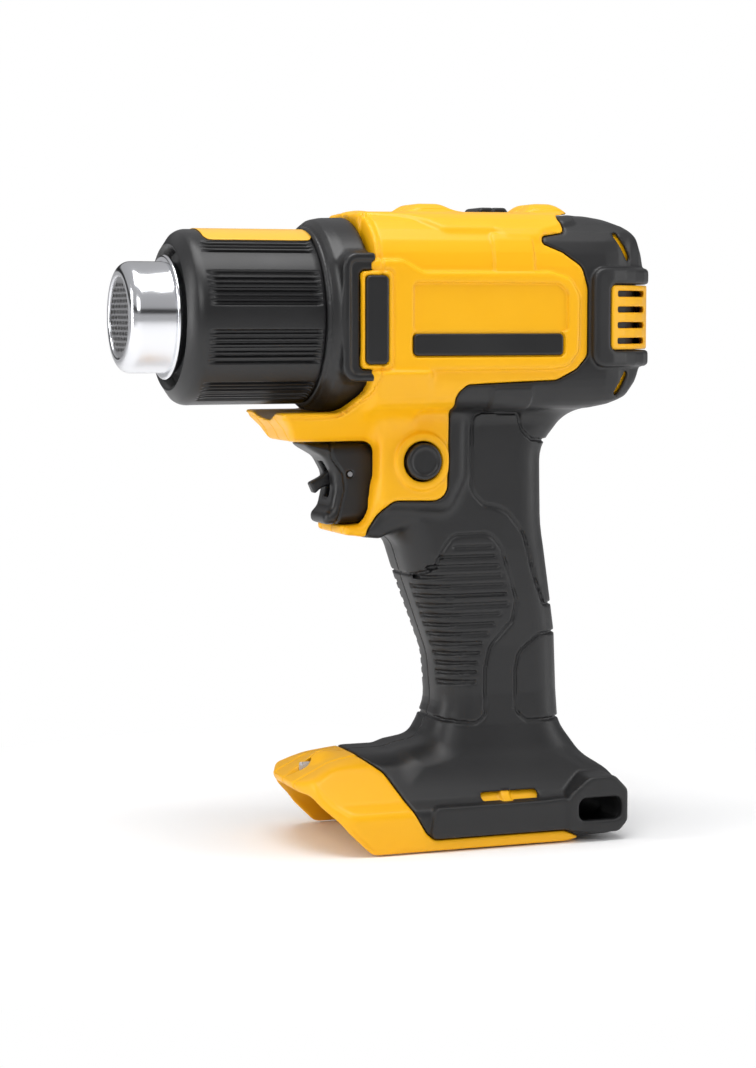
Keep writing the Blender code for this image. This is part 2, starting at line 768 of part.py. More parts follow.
def buildFan():
    shroud = turned("fan_shroud", [
        (-13, ductRadius - ductWall), (-13, ductRadius), (ductRear, ductRadius),
        (ductRear, ductRadius - ductWall),
    ], blackNylon)
    mountRear = motorFront - gap
    for k in range(3):
        angle = radians(90 + 120 * k)
        spoke = block(f"spoke_{k}", (9.5, -1.2, 8), (12, 1.2, ductRadius - ductWall / 2))
        spoke.data.transform(Matrix.Translation((0, 0, barrelZ * mm)) @ Matrix.Rotation(angle, 4, "X"))
        join(shroud, spoke)
    disc = rod("motor_disc", motorRadius, (9.5, 0, barrelZ), (mountRear, 0, barrelZ), count=32)
    join(shroud, disc)
    bored(shroud, "disc_bore", 5, (0, 0, barrelZ), (20, 0, barrelZ))
    hub = rod("fan_impeller", 8, (-8, 0, barrelZ), (7, 0, barrelZ), blackNylon, 32)
    blades = 7
    reach = ductRadius - ductWall - runningGap
    for k in range(blades):
        blade = block(f"blade_{k}", (-6.5, -0.7, 6), (6.5, 0.7, reach - 0.4))
        twist = Matrix.Rotation(radians(38), 4, "Z")
        around = Matrix.Rotation(2 * pi * k / blades, 4, "X")
        blade.data.transform(Matrix.Translation((0, 0, barrelZ * mm)) @ around @ twist)
        join(hub, blade)
    bored(hub, "hub_bore", shaftRadius + gap, (-20, 0, barrelZ), (20, 0, barrelZ), 16)


def buildMotor():
    bore = shaftRadius + gap
    turned("motor_can", [
        (motorFront, bore), (motorFront, motorRadius), (motorRear, motorRadius),
        (motorRear, motorRadius - 1.5), (motorFront + 2, motorRadius - 1.5), (motorFront + 2, bore),
    ], steel)
    turned("motor_cap", [
        (motorRear + gap, bore), (motorRear + gap, motorRadius), (motorRear + 4, motorRadius),
        (motorRear + 4, bore),
    ], blackNylon)
    turned("motor_armature", [(22, bore), (22, 9.6), (46, 9.6), (46, bore)], copper, 32)
    rod("motor_shaft", shaftRadius, (-9, 0, barrelZ), (motorRear + 6, 0, barrelZ), steel, 16)
    outer = motorRadius - 1.5 - gap
    for number, middle in ((1, 0), (2, pi)):
        points = []
        for radius, turn in ((outer - 2.4, 1), (outer, -1)):
            for k in range(13):
                angle = middle + turn * (k / 12 - 0.5) * radians(130)
                points.append((radius * cos(angle), barrelZ + radius * sin(angle)))
        slab(f"motor_magnet_{number}", points, 20, 48, "YZ", material=steel)


# ---- Controls ----

def buildTrigger():
    top = triggerRoof - runningGap
    bottom = triggerFloor + runningGap
    side = [
        (-29.5, bottom, 2), (-12, bottom, 3), (triggerRear, bottom + 8, 4), (triggerRear, top - 4, 3),
        (-9, top, 3), (-36, top, 1.2), (-28, top - 4, 5), (-21.4, top - 10, 6),
        (-21.4, top - 16, 6), (-24.5, top - 25, 4),
    ]
    trigger = slab("trigger", side, -triggerHalf, triggerHalf, "XZ", 1.8, blackNylon)
    combine(trigger, block("lever_slot", (-50, -2.8, leverPinZ - 9), (-12.5, 2.8, leverPinZ + 5)))
    bored(trigger, "pin_bore", 1 + gap, (leverPinX, -20, leverPinZ), (leverPinX, 20, leverPinZ), 16)
    bored(trigger, "spring_pocket", 4, (-11.5, 0, springZ), (10, 0, springZ), 20)
    rod("trigger_pin", 1, (leverPinX, -triggerHalf + 0.1, leverPinZ), (leverPinX, triggerHalf - 0.1, leverPinZ),
        steel, 16)
    lever = [
        (leverPinX - 2.2, leverPinZ - 3.6, 1.5), (leverPinX + 3, leverPinZ - 2.6, 2),
        (leverPinX + 3, leverPinZ + 2.6, 2), (leverPinX - 3, leverPinZ + 2.8, 2),
        (-27, leverPinZ - 1.5, 2), (-31.3, leverPinZ - 3.6, 0.8), (-29.3, leverPinZ - 8, 0.8),
        (-26.4, leverPinZ - 5.6, 2),
    ]
    blade = slab("lock_lever", lever, -2.2, 2.2, "XZ", 0.6, blackNylon)
    bored(blade, "lever_bore", 1 + gap, (leverPinX, -20, leverPinZ), (leverPinX, 20, leverPinZ), 16)
    turns, perTurn, coilRadius = 5, 8, 2.9
    start, end = -11.5 + gap + 0.4, switchFront - gap - 0.4
    line = [
        (start + (end - start) * k / (turns * perTurn), coilRadius * cos(2 * pi * k / perTurn),
         springZ + coilRadius * sin(2 * pi * k / perTurn))
        for k in range(turns * perTurn + 1)
    ]
    tube("trigger_spring", line, 0.35, steel)
    block("trigger_switch", (switchFront, -9, triggerFloor + 4), (25, 9, triggerFloor + 16), blackNylon, 0.6)


def buildButton():
    """A cross button: two caps on one bar through the neck."""
    face = neckHalf + 4
    button = rod("lock_off_button", 3, (buttonX, -17, buttonZ), (buttonX, 17, buttonZ), blackNylon, 20)
    for side in (-1, 1):
        cap = rod(f"button_cap_{side}", buttonRadius, (buttonX, side * 14.5, buttonZ),
                  (buttonX, side * (face - 0.8), buttonZ), count=28)
        dome = rod(f"button_dome_{side}", buttonRadius, (buttonX, side * (face - 1), buttonZ),
                   (buttonX, side * face, buttonZ), count=28, endRadius=buttonRadius - 1)
        join(cap, dome)
        join(button, cap)


def buildSlider():
    low = headTop - skin - wall
    slider = block("temperature_switch", (sliderX - sliderHalfLength, -8, low - 1.4),
                   (sliderX + sliderHalfLength, 8, headTop + 3.2), blackNylon, edge=0.8)
    join(slider, block("slider_flange", (sliderX - sliderHalfLength - 2.5, -9.8, low - 2.4),
                       (sliderX + sliderHalfLength + 2.5, 9.8, low - gap - 0.1)))
    boardTop = low - 8.3
    block("switch_board", (22.5 + gap, -14, boardTop - 1.6), (56 - gap, 14, boardTop), greenBoard)
    block("switch_block", (sliderX - 9, -6, boardTop + gap), (sliderX + 9, 6, low - 2.4 - gap), blackNylon)


# ---- Electrics ----


def buildElectrics():
    block("control_board", (30, 6, boardBottom), (54, 7.6, boardTop), greenBoard)
    sink = block("heat_sink", (36, -3, boardBottom + 25), (48, 6 - gap, boardBottom + 45), aluminium)
    for k in range(3):
        x = 38 + 3 * k
        combine(sink, block(f"sink_groove_{k}", (x, -10, boardBottom + 20), (x + 1.6, 3, boardBottom + 50)))
    block("terminal_block", (terminalFront, -terminalHalf, dockTop - 10), (terminalRear, terminalHalf, terminalTop),
          blackNylon, 0.6)
    for number, y in enumerate((-13, -5, 5, 13), 1):
        block(f"terminal_blade_{number}", (terminalFront - 17, y - 0.4, dockTop - 7.5),
              (terminalFront - gap, y + 0.4, dockTop - 2), copper)
    rod("led_lens", lampRadius, (-34.5, 0, lampZ), (-24, 0, lampZ), clearPlastic, 24)
    block("led_board", (-16.6, -6, dockTop + wall + gap), (-15.2, 6, footTop - 6), greenBoard)


def buildLeads():
    """Battery leads up the handle, heater and motor leads down from the head to the board."""
    for word, side, material in (("positive", 1, redWire), ("negative", -1, blackWire)):
        y = side * 5
        wire(f"battery_lead_{word}", [
            (50, y, terminalTop + gap), (51, y, 30), (55, y, 46), (55.5, y, 70), (52, y * 0.8, 90),
            (46 + side * 4, 6.8, boardBottom - 6), (46 + side * 4, 6.8, boardBottom - 1.5),
            (46 + side * 4, 6.8, boardBottom - gap),
        ], 1.1, material)
        wire(f"heater_lead_{word}", [
            (-22 + gap, y * 0.8, barrelZ - 25.5), (-20, y * 0.8, barrelZ - 25.5), (-14, y * 0.8, headBottom + 7.6), (0, y * 0.8, headBottom + 6.8),
            (22, y * 0.8, headBottom + 6.8), (32, y * 0.5 + 3, headBottom + 4),
            (38 + side * 2, 6.8, boardTop + 3), (38 + side * 2, 6.8, boardTop + 1.2), (38 + side * 2, 6.8, boardTop + gap),
        ], 1, material)
        wire(f"motor_lead_{word}", [
            (motorRear + 4 + gap, y, barrelZ - 10), (63, y, barrelZ - 13), (64.5, y, headBottom + 14),
            (63.5, y * 0.8, headBottom + 3), (57.5, y * 0.5 + 3, boardTop + 3.5), (50 + side * 2, 6.8, boardTop + 3.5),
            (50 + side * 2, 6.8, boardTop + 1.2), (50 + side * 2, 6.8, boardTop + gap),
        ], 0.9, material)


clearScene()
parts = newCollection("heat_gun")
cutters = newCollection("cutters")

yellowNylon = finish("yellow_nylon", (0.9, 0.47, 0.01), 0.38)
yellowLabel = finish("yellow_label", (0.85, 0.5, 0.02), 0.5)
blackNylon = finish("black_nylon", (0.03, 0.03, 0.032), 0.5)
blackRubber = finish("black_rubber", (0.035, 0.035, 0.037), 0.65)
chrome = finish("chromed_steel", (0.85, 0.85, 0.86), 0.12, 1)
steel = finish("steel", (0.6, 0.6, 0.6), 0.35, 1)
copper = finish("copper", (0.8, 0.42, 0.28), 0.35, 1)
aluminium = finish("aluminium", (0.75, 0.76, 0.77), 0.4, 1)
mica = finish("mica", (0.62, 0.52, 0.36), 0.6)
ceramic = finish("ceramic", (0.8, 0.76, 0.68), 0.8)
greenBoard = finish("circuit_board", (0.03, 0.2, 0.08), 0.5)
clearPlastic = finish("lamp_lens", (0.9, 0.92, 0.95), 0.1)
redWire = finish("red_wire", (0.6, 0.03, 0.02), 0.5)
blackWire = finish("black_wire", (0.03, 0.03, 0.03), 0.5)

wholeHousing, outsideShape, coreShape = buildHousing()
splitHousing(wholeHousing)
buildOvermould(outsideShape, coreShape)
buildScrews()
buildTrims()
buildVentCage()
buildBarrel()
buildNozzle()
buildHeater()
buildFan()
buildMotor()
buildTrigger()
buildButton()
buildSlider()
buildElectrics()
buildLeads()
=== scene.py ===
import math
import bpy
import bmesh
import numpy as np
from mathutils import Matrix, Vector


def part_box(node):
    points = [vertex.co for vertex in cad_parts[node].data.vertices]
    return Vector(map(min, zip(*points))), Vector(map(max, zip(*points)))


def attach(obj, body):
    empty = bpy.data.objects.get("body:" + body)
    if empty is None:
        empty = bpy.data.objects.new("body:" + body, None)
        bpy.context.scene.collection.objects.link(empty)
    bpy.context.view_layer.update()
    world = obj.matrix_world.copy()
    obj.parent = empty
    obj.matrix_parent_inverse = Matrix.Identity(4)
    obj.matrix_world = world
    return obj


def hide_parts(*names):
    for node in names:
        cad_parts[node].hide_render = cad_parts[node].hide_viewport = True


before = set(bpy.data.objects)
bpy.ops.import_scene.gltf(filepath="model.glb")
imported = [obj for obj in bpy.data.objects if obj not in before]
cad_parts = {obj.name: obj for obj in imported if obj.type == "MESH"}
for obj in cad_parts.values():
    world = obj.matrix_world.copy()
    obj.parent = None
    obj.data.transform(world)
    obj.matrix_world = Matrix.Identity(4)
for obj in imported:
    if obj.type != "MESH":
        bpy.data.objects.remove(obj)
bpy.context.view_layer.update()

# The looks of a cordless heat gun. Lengths are in millimetres until a mesh is made.
axisZ = sum(np.array(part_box("motor_shaft"))[:, 2]) / 2 * 1000
grid = 0.6


# Outlines and fields: a field is below zero inside a shape, and counts millimetres.

def rounded(corners):
    # Points of an outline whose corners (a, b, radius) become arcs.
    points = []
    for i, (a, b, radius) in enumerate(corners):
        here = Vector((a, b))
        towards = Vector(corners[i - 1][:2]) - here
        onwards = Vector(corners[(i + 1) % len(corners)][:2]) - here
        turn = math.pi - towards.angle(onwards)
        reach = min(radius * math.tan(turn / 2), 0.48 * towards.length, 0.48 * onwards.length)
        if reach < 0.05:
            points.append((a, b))
            continue
        start = here + towards.normalized() * reach
        end = here + onwards.normalized() * reach
        steps = max(2, math.ceil(turn / 0.2))
        for k in range(steps + 1):
            t = k / steps
            w = ((1 - t) ** 2, 2 * t * (1 - t) * math.cos(turn / 2), t * t)
            p = (start * w[0] + here * w[1] + end * w[2]) / sum(w)
            points.append((p.x, p.y))
    return points


def toLine(a, b, ax, ay, bx, by):
    ex, ey = bx - ax, by - ay
    t = np.clip(((a - ax) * ex + (b - ay) * ey) / (ex * ex + ey * ey + 1e-12), 0, 1)
    return np.hypot(a - ax - t * ex, b - ay - t * ey)


def area(corners, a, b):
    # Signed distance to a rounded outline over a plane grid.
    points = rounded(corners)
    distance = np.full(np.broadcast(a, b).shape, 1e9)
    inside = np.zeros(distance.shape, bool)
    for i, (bx, by) in enumerate(points):
        ax, ay = points[i - 1]
        distance = np.minimum(distance, toLine(a, b, ax, ay, bx, by))
        if ay != by:
            crosses = (ay > b) != (by > b)
            inside ^= crosses & (a < (bx - ax) * (b - ay) / (by - ay) + ax)
    return np.where(inside, -distance, distance)


def union(f, g, k=0.0):
    if not k:
        return np.minimum(f, g)
    h = np.maximum(k - np.abs(f - g), 0) / k
    return np.minimum(f, g) - h * h * k * 0.25


def common(f, g, k=0.0):
    return -union(-f, -g, k)


def cut(f, g, k=0.0):
    return -union(-f, g, k)


def groove(f, line, half, depth):
    # Cuts a groove of that half width and depth into a surface along where line is 0.
    return np.maximum(f, np.minimum(half - np.abs(line), f + depth))


class Space:
    # A grid over half of the tool, with y from the parting plane outwards.

    def __init__(self, x, y, z, step):
        self.start = np.array([x[0], y[0], z[0]])
        self.step = step
        axes = [np.arange(r[0], r[1] + step, step) for r in (x, y, z)]
        self.x = axes[0][:, None, None]
        self.y = axes[1][None, :, None]
        self.z = axes[2][None, None, :]

    def side(self, corners):
        return area(corners, self.x[:, 0], self.z[0]).reshape(self.x.size, 1, -1)

    def section(self, corners):
        return area(corners, self.y[0], self.z[0]).reshape(1, self.y.size, -1)

    def plan(self, corners):
        return area(corners, self.x[:, :, 0], self.y[:, :, 0]).reshape(self.x.size, self.y.size, 1)

    def turned(self, x, z, radius):
        # Distance to a cylinder along Y.
        return np.hypot(self.x - x, self.z - z) - radius

    def boxed(self, x, y, z, radius=1.0):
        # A box with rounded edges.
        gaps = [
            np.abs(axis - (r[0] + r[1]) / 2) - (r[1] - r[0]) / 2 + radius
            for axis, r in ((self.x, x), (self.y, y), (self.z, z))
        ]
        outside = np.sqrt(sum(np.maximum(g, 0) ** 2 for g in gaps))
        return outside + np.minimum(np.maximum(np.maximum(*gaps[:2]), gaps[2]), 0) - radius


def surface(space, field):
    # Points and quads on the zero surface of a field, one point in each cell that it crosses.
    f = np.broadcast_to(field, (space.x.size, space.y.size, space.z.size)).astype(np.float32)
    inside = f < 0
    shape = np.array(f.shape)
    cells = tuple(shape - 1)
    corner = [(i, j, k) for i in (0, 1) for j in (0, 1) for k in (0, 1)]

    def window(array, c):
        return array[c[0]:c[0] + cells[0], c[1]:c[1] + cells[1], c[2]:c[2] + cells[2]]

    count = sum(window(inside, c).astype(np.int8) for c in corner)
    active = np.argwhere((count > 0) & (count < 8))
    total = np.zeros((len(active), 3))
    hits = np.zeros(len(active))
    values = {c: f[tuple((active + c).T)] for c in corner}
    for c in corner:
        for axis in range(3):
            if c[axis]:
                continue
            d = tuple(v + (n == axis) for n, v in enumerate(c))
            a, b = values[c], values[d]
            crossed = (a < 0) != (b < 0)
            t = np.where(crossed, a / np.where(a == b, 1, a - b), 0)
            point = np.array(c, float) + np.eye(3)[axis] * t[:, None]
            total += point * crossed[:, None]
            hits += crossed
    points = active + total / hits[:, None]
    index = np.full(cells, -1, np.int32)
    index[tuple(active.T)] = np.arange(len(active))
    quads = []
    for axis in range(3):
        u, v = (axis + 1) % 3, (axis + 2) % 3
        first = [slice(1, -1)] * 3
        first[axis] = slice(0, -1)
        second = list(first)
        second[axis] = slice(1, None)
        a, b = inside[tuple(first)], inside[tuple(second)]
        where = np.argwhere(a != b) + 1
        where[:, axis] -= 1
        grows = inside[tuple(where.T)]
        offsets = [np.zeros(3, int) for _ in range(4)]
        offsets[1][u] -= 1
        offsets[2][u] -= 1
        offsets[2][v] -= 1
        offsets[3][v] -= 1
        ring = np.stack([index[tuple((where + o).T)] for o in offsets], 1)
        ring[~grows] = ring[~grows][:, ::-1]
        quads.append(ring)
    quads = np.concatenate(quads)
    return space.start + points * space.step, quads[(quads >= 0).all(1)]


def meshed(name, points, quads, mirror=1):
    # A mesh object in metres. mirror -1 puts it on the -Y side.
    mesh = bpy.data.meshes.new(name)
    points = points * np.array([1, mirror, 1]) / 1000
    if mirror < 0:
        quads = quads[:, ::-1]
    mesh.vertices.add(len(points))
    mesh.vertices.foreach_set("co", points.ravel())
    mesh.loops.add(quads.size)
    mesh.loops.foreach_set("vertex_index", quads.ravel().astype(np.int32))
    mesh.polygons.add(len(quads))
    mesh.polygons.foreach_set("loop_start", np.arange(0, quads.size, 4, dtype=np.int32))
    mesh.update(calc_edges=True)
    mesh.shade_smooth()
    obj = bpy.data.objects.new(name, mesh)
    bpy.context.scene.collection.objects.link(obj)
    return obj


sides = (("left", -1), ("right", 1))


def halves(name, space, field, material, nodes, body="base"):
    # Left and right pieces from one field.
    points, quads = surface(space, field)
    for side, mirror in sides:
        obj = meshed(f"{name}_{side}_shell", points, quads, mirror)
        dress(obj, material, body, [n.replace("SIDE", side) for n in nodes])
    print(name, "triangles a side:", 2 * len(quads))


def dress(obj, material, body, nodes=()):
    obj.data.materials.clear()
    obj.data.materials.append(material)
    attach(obj, body)
    if nodes:
        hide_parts(*nodes)
    return obj


# Materials.

def colour(text):
    # Linear colour of a six-digit sRGB hex.
    values = [int(text[i:i + 2], 16) / 255 for i in (0, 2, 4)]
    return [v / 12.92 if v <= 0.04045 else ((v + 0.055) / 1.055) ** 2.4 for v in values] + [1]


def newMaterial(name, base, roughness, metallic=0.0):
    material = bpy.data.materials.new(name)
    material.use_nodes = True
    shader = material.node_tree.nodes["Principled BSDF"]
    shader.inputs["Base Color"].default_value = colour(base)
    shader.inputs["Roughness"].default_value = roughness
    shader.inputs["Metallic"].default_value = metallic
    return material


def shaderOf(material):
    return material.node_tree.nodes["Principled BSDF"]


def addNode(material, kind, inputs=(), **settings):
    # Adds a node; inputs pairs each socket name with a value or another socket.
    node = material.node_tree.nodes.new(kind)
    for key, value in settings.items():
        setattr(node, key, value)
    for key, value in inputs:
        if isinstance(value, bpy.types.NodeSocket):
            material.node_tree.links.new(value, node.inputs[key])
        else:
            node.inputs[key].default_value = value
    return node


def grained(name, base, lighter, roughness, spread, scale, depth, metallic=0.0):
    # A surface with a fine moulded grain, cloudy gloss and a slight change of shade.
    material = newMaterial(name, base, roughness, metallic)
    shader = shaderOf(material)
    link = material.node_tree.links.new
    place = addNode(material, "ShaderNodeTexCoord").outputs["Object"]
    grain = addNode(material, "ShaderNodeTexNoise", [("Vector", place), ("Scale", scale), ("Detail", 3)])
    cloud = addNode(material, "ShaderNodeTexNoise", [("Vector", place), ("Scale", 38.0), ("Detail", 4)])
    shade = addNode(material, "ShaderNodeMix", data_type="RGBA")
    shade.inputs[6].default_value = colour(base)
    shade.inputs[7].default_value = colour(lighter)
    link(cloud.outputs["Fac"], shade.inputs[0])
    link(shade.outputs[2], shader.inputs["Base Color"])
    gloss = addNode(material, "ShaderNodeMapRange", [
        ("Value", cloud.outputs["Fac"]), ("From Min", 0.3), ("From Max", 0.7),
        ("To Min", roughness - spread), ("To Max", roughness + spread)])
    link(gloss.outputs["Result"], shader.inputs["Roughness"])
    bump = addNode(material, "ShaderNodeBump", [
        ("Height", grain.outputs["Fac"]), ("Strength", 0.5), ("Distance", depth / 1000)])
    link(bump.outputs["Normal"], shader.inputs["Normal"])
    return material


# Glass-filled nylon: a warm yellow with a soft broad highlight.
yellowNylon = grained("yellow_moulded_nylon", "f5b10a", "f9b80e", 0.36, 0.05, 2600, 0.012)
shaderOf(yellowNylon).inputs["Specular IOR Level"].default_value = 0.35
# Black glass-filled nylon on the barrel and the controls: near black, satin.
blackNylon = grained("black_moulded_nylon", "151516", "1a1a1b", 0.38, 0.05, 2200, 0.02)
# Thermoplastic rubber over the grip: dark grey, matt, faintly granular.
softRubber = grained("rubber_overmould", "181819", "1d1d1e", 0.45, 0.06, 1500, 0.035)
# Chrome plate: sharp dark and white reflections round the nozzle.
chrome = newMaterial("chromed_steel", "e4e5e8", 0.15, 1.0)
# Drawn and pressed steel: bright grey with a soft sheen.
steel = grained("bright_steel", "9a9a9c", "b0b0b2", 0.3, 0.06, 1500, 0.004, 1.0)
# Steel that has been hot: brown grey.
darkSteel = grained("heat_tinted_steel", "6b6663", "8b8078", 0.35, 0.08, 1200, 0.006, 1.0)
# Tinned copper: a dull warm metal.
copper = grained("tinned_copper", "b87a55", "c98c66", 0.3, 0.05, 1200, 0.004, 1.0)
# Printed film, bare here: a smoother, paler yellow than the housing.
labelFilm = grained("yellow_label_film", "f2b632", "f6bd3c", 0.3, 0.04, 700, 0.003)
# Mica sheet and fired ceramic round the heater: brown and off-white, matt.
mica = grained("mica_sheet", "b59a6a", "c6ad80", 0.5, 0.08, 500, 0.03)
ceramic = grained("fired_ceramic", "d8cfbd", "e3dccd", 0.7, 0.05, 1200, 0.03)
# Circuit boards: solder-mask green.
board = grained("circuit_board", "0f5a2c", "14683a", 0.35, 0.05, 800, 0.01)
# Extruded aluminium of the heat sink: pale satin metal.
aluminium = grained("extruded_aluminium", "b5b7ba", "c3c5c8", 0.38, 0.05, 1500, 0.006, 1.0)
# Insulation of the leads.
redWire = grained("red_insulation", "a01c18", "ac241e", 0.4, 0.04, 900, 0.005)
blackWire = grained("black_insulation", "161616", "1c1c1c", 0.4, 0.04, 900, 0.005)
# Clear polycarbonate of the lamp.
lampLens = newMaterial("lamp_lens", "eef3f6", 0.08)
shaderOf(lampLens).inputs["Transmission Weight"].default_value = 0.6
shaderOf(lampLens).inputs["IOR"].default_value = 1.49


# Housing and overmould.

shell = dict(
    headHalf=36.9, headTop=axisZ + 38.6, headBottom=axisZ - 36, headFront=-17.4, headRear=103.2,
    bandRear=104.4, bandHalf=38.5,
    neckHalf=22.3, footHalf=36.4, seam=0.13, wall=3.4,
)


button = dict(x=6.5, z=axisZ - 54, cap=7.0, room=7.7, boss=10.9)


def headField(s, grow=0.0):
    half, top, bottom = shell["headHalf"], shell["headTop"], shell["headBottom"]
    front, rear = shell["headFront"], shell["headRear"]
    section = s.section([(-60, bottom, 1), (half, bottom, 15), (half, top + 1.2, 25), (-60, top + 1.2, 1)])
    side = s.side([
        (front, bottom, 3), (rear, bottom, 36), (rear, top + 2.4, 34), (front, top + 0.4, 2)])
    plan = s.plan([(front, -60, 2), (rear, -60, 1), (rear, half, 33), (front, half, 1)])
    return common(common(section, side, 4), plan, 4) - grow


def bandField(s, grow=0.0):
    # The round band at the rear that carries the bumper frame and the vent cage.
    rear, half = shell["bandRear"], shell["bandHalf"]
    return s.plan([(10, -60, 1), (rear, -60, 1), (rear, half, 32), (10, half, 1)]) - grow


def gripWidth(z):
    # Half width of the grip at each height: a palm swell, a waist and a flare into the foot.
    heights = [10, 24, 34, 44, 56, 75, 95, 112, 135, 160, 175, 190]
    widths = [27, 25, 21, 17.6, 16.6, 16.6, 17.8, 18.6, 18.6, 19, 21, 27]
    return np.interp(z, heights, widths)


def bodyField(s):
    # Head, neck, grip and foot, blended as one moulding.
    z0 = axisZ
    head = headField(s)
    neck = common(s.side([
        (-9.9, z0 - 71, 3), (18, z0 - 72, 5), (24, z0 - 60, 5), (24, z0 - 20, 1), (-9.9, z0 - 20, 1)]),
        s.y - shell["neckHalf"], 4)
    prow = common(
        s.side([
            (-50.3, z0 - 35.2, 1.2), (-45, z0 - 41.5, 3), (-42.5, z0 - 46.5, 3), (0, z0 - 46.5, 1),
            (4, z0 - 20, 1), (-17.4, z0 - 20, 1), (-18.5, z0 - 27, 6), (-26, z0 - 35.2, 7)]),
        (s.y - 15 - 0.95 * (s.z - (z0 - 46.6))) * 0.72, 2.5)
    tail = common(s.side([
        (-22.2, z0 - 81.6, 1.4), (-8, z0 - 83.2, 2), (4, z0 - 76, 2), (4, z0 - 62, 1), (-9.9, z0 - 62, 1),
        (-10.6, z0 - 72, 8), (-15, z0 - 78.2, 6), (-22.2, z0 - 78.2, 1)]), s.y - 17.5, 3)
    grip = common(s.side([
        (8, 24, 2), (84, 20, 3), (69, 43, 14), (67.6, 78, 40), (60.6, z0 - 80, 60), (60, z0 - 50, 14),
        (78, headLow(8), 10), (84, headLow(16), 2), (10, headLow(16), 2), (10, z0 - 66, 3), (-9, z0 - 68, 2),
        (-15, z0 - 81.4, 1.5), (1, z0 - 82.6, 9), (6.4, z0 - 100, 30), (17, 71, 24), (18.6, 52, 16),
        (13, 38.5, 7), (2, 35.5, 4), (0, 24, 2)]), s.y - gripWidth(s.z), 13)
    foot = footField(s)
    body = union(union(head, neck, 5), prow, 5)
    body = union(union(body, grip, 6), tail, 4)
    return union(body, foot, 5)


def headLow(rise):
    return shell["headBottom"] + rise


def footField(s):
    side = s.side([
        (-17, 0, 5), (61, 0, 3), (68, 2.2, 6), (86.2, 2.6, 10), (86.2, 26, 9), (70, 29.5, 9),
        (52, 36, 6), (-14, 36, 5), (-27, 33, 10), (-43, 25.3, 1.5)])
    section = s.section([
        (-60, 0, 1), (shell["footHalf"], 0, 1), (shell["footHalf"], 15.5, 4), (30.5, 19.5, 6),
        (20, 31.5, 10), (10, 36.2, 9), (-60, 36.2, 1)])
    plan = s.plan([
        (-43.4, -60, 1), (-43.4, 9, 12), (-36, 27, 12), (-25, 36.6, 10), (90, 36.6, 6), (90, -60, 1)])
    return common(common(side, section, 2.5), plan, 2)


def gripZone(s):
    # Signed distance to the edge between the yellow nylon and the black overmould, side on.
    z0 = axisZ
    return s.side([
        (6.8, 5, 2.5), (60, 5, 3), (68, 1.5, 3), (72, -9, 1), (125, -9, 1), (125, 262, 1), (75.5, 262, 1),
        (75.5, z0 + 40, 1), (60, z0 + 38.2, 2), (61.4, z0 + 33, 2), (60.3, z0 + 31.6, 1.5),
        (51.4, z0 + 30.2, 1.5), (50.6, z0 + 27.6, 1.5), (58.4, z0 + 24.4, 4), (66.2, z0 + 19, 6),
        (68.5, z0 + 11, 4), (68.5, z0 - 14.5, 4), (64, z0 - 19.6, 4), (56, z0 - 23.6, 4),
        (20, z0 - 25, 4), (15.6, z0 - 28.6, 4), (17.6, z0 - 38, 14), (17, z0 - 69.3, 6),
        (-4.6, z0 - 68.7, 5), (-9.5, z0 - 74, 5),
        (-13.6, z0 - 80, 3), (-14, z0 - 100, 1), (-30, z0 - 100, 1), (-30, 60, 1), (-15.8, 34.5, 1),
        (-8.6, 29, 5), (-1.6, 16.4, 8), (3.6, 7.6, 4)])


def pieceLines(s):
    # Raised panels and grooves of the overmould, side on.
    z0 = axisZ
    upper = s.side([
        (28, z0 - 37, 3), (28.1, z0 - 66, 8), (33, z0 - 71.3, 4), (42, z0 - 73, 12), (50, z0 - 83, 8),
        (54.5, z0 - 99, 10), (59.5, z0 - 111, 2), (80, z0 - 111, 1), (80, z0 - 49, 1), (53, z0 - 46.6, 3),
        (48.6, z0 - 43, 4), (46.6, z0 - 36.2, 3), (31, z0 - 36, 3)])
    palm = s.side([
        (-20, 103.5, 1), (6, 103, 4), (13, 105, 6), (16.5, 112.5, 5), (20.5, 118.2, 5), (36, 118.5, 6),
        (40.5, 113, 6), (47.5, 92.5, 5), (46, 84.5, 6), (36.8, 74.5, 6), (35, 66, 6), (35, 48, 4),
        (31, 45, 4), (-20, 52, 1)])
    lower = s.side([
        (80, 79.6, 1), (57.5, 78.6, 4), (49, 72, 5), (47.7, 66, 5), (47.7, 49, 4), (52, 45, 4), (80, 45.4, 1)])
    return upper, palm, lower


def palmRibs(s):
    # Distance to the level grooves of the palm panel.
    a, b = s.x[:, :, 0], s.z[0]
    ribs = np.full((s.x.size, s.z.size), 9.0)
    for k in range(15):
        z = 113.6 - 3.75 * k
        left = np.interp(z, [60, 70, 78, 92, 100, 107, 114], [16, 14.2, 12, 7, 6, 12, 22])
        right = np.interp(z, [60, 68, 76, 86, 91, 98, 114], [30.6, 31.2, 33, 39.5, 43.6, 42.2, 36.6])
        ribs = np.minimum(ribs, toLine(a, b, left, z, right, z))
    return ribs.reshape(s.x.size, 1, -1)


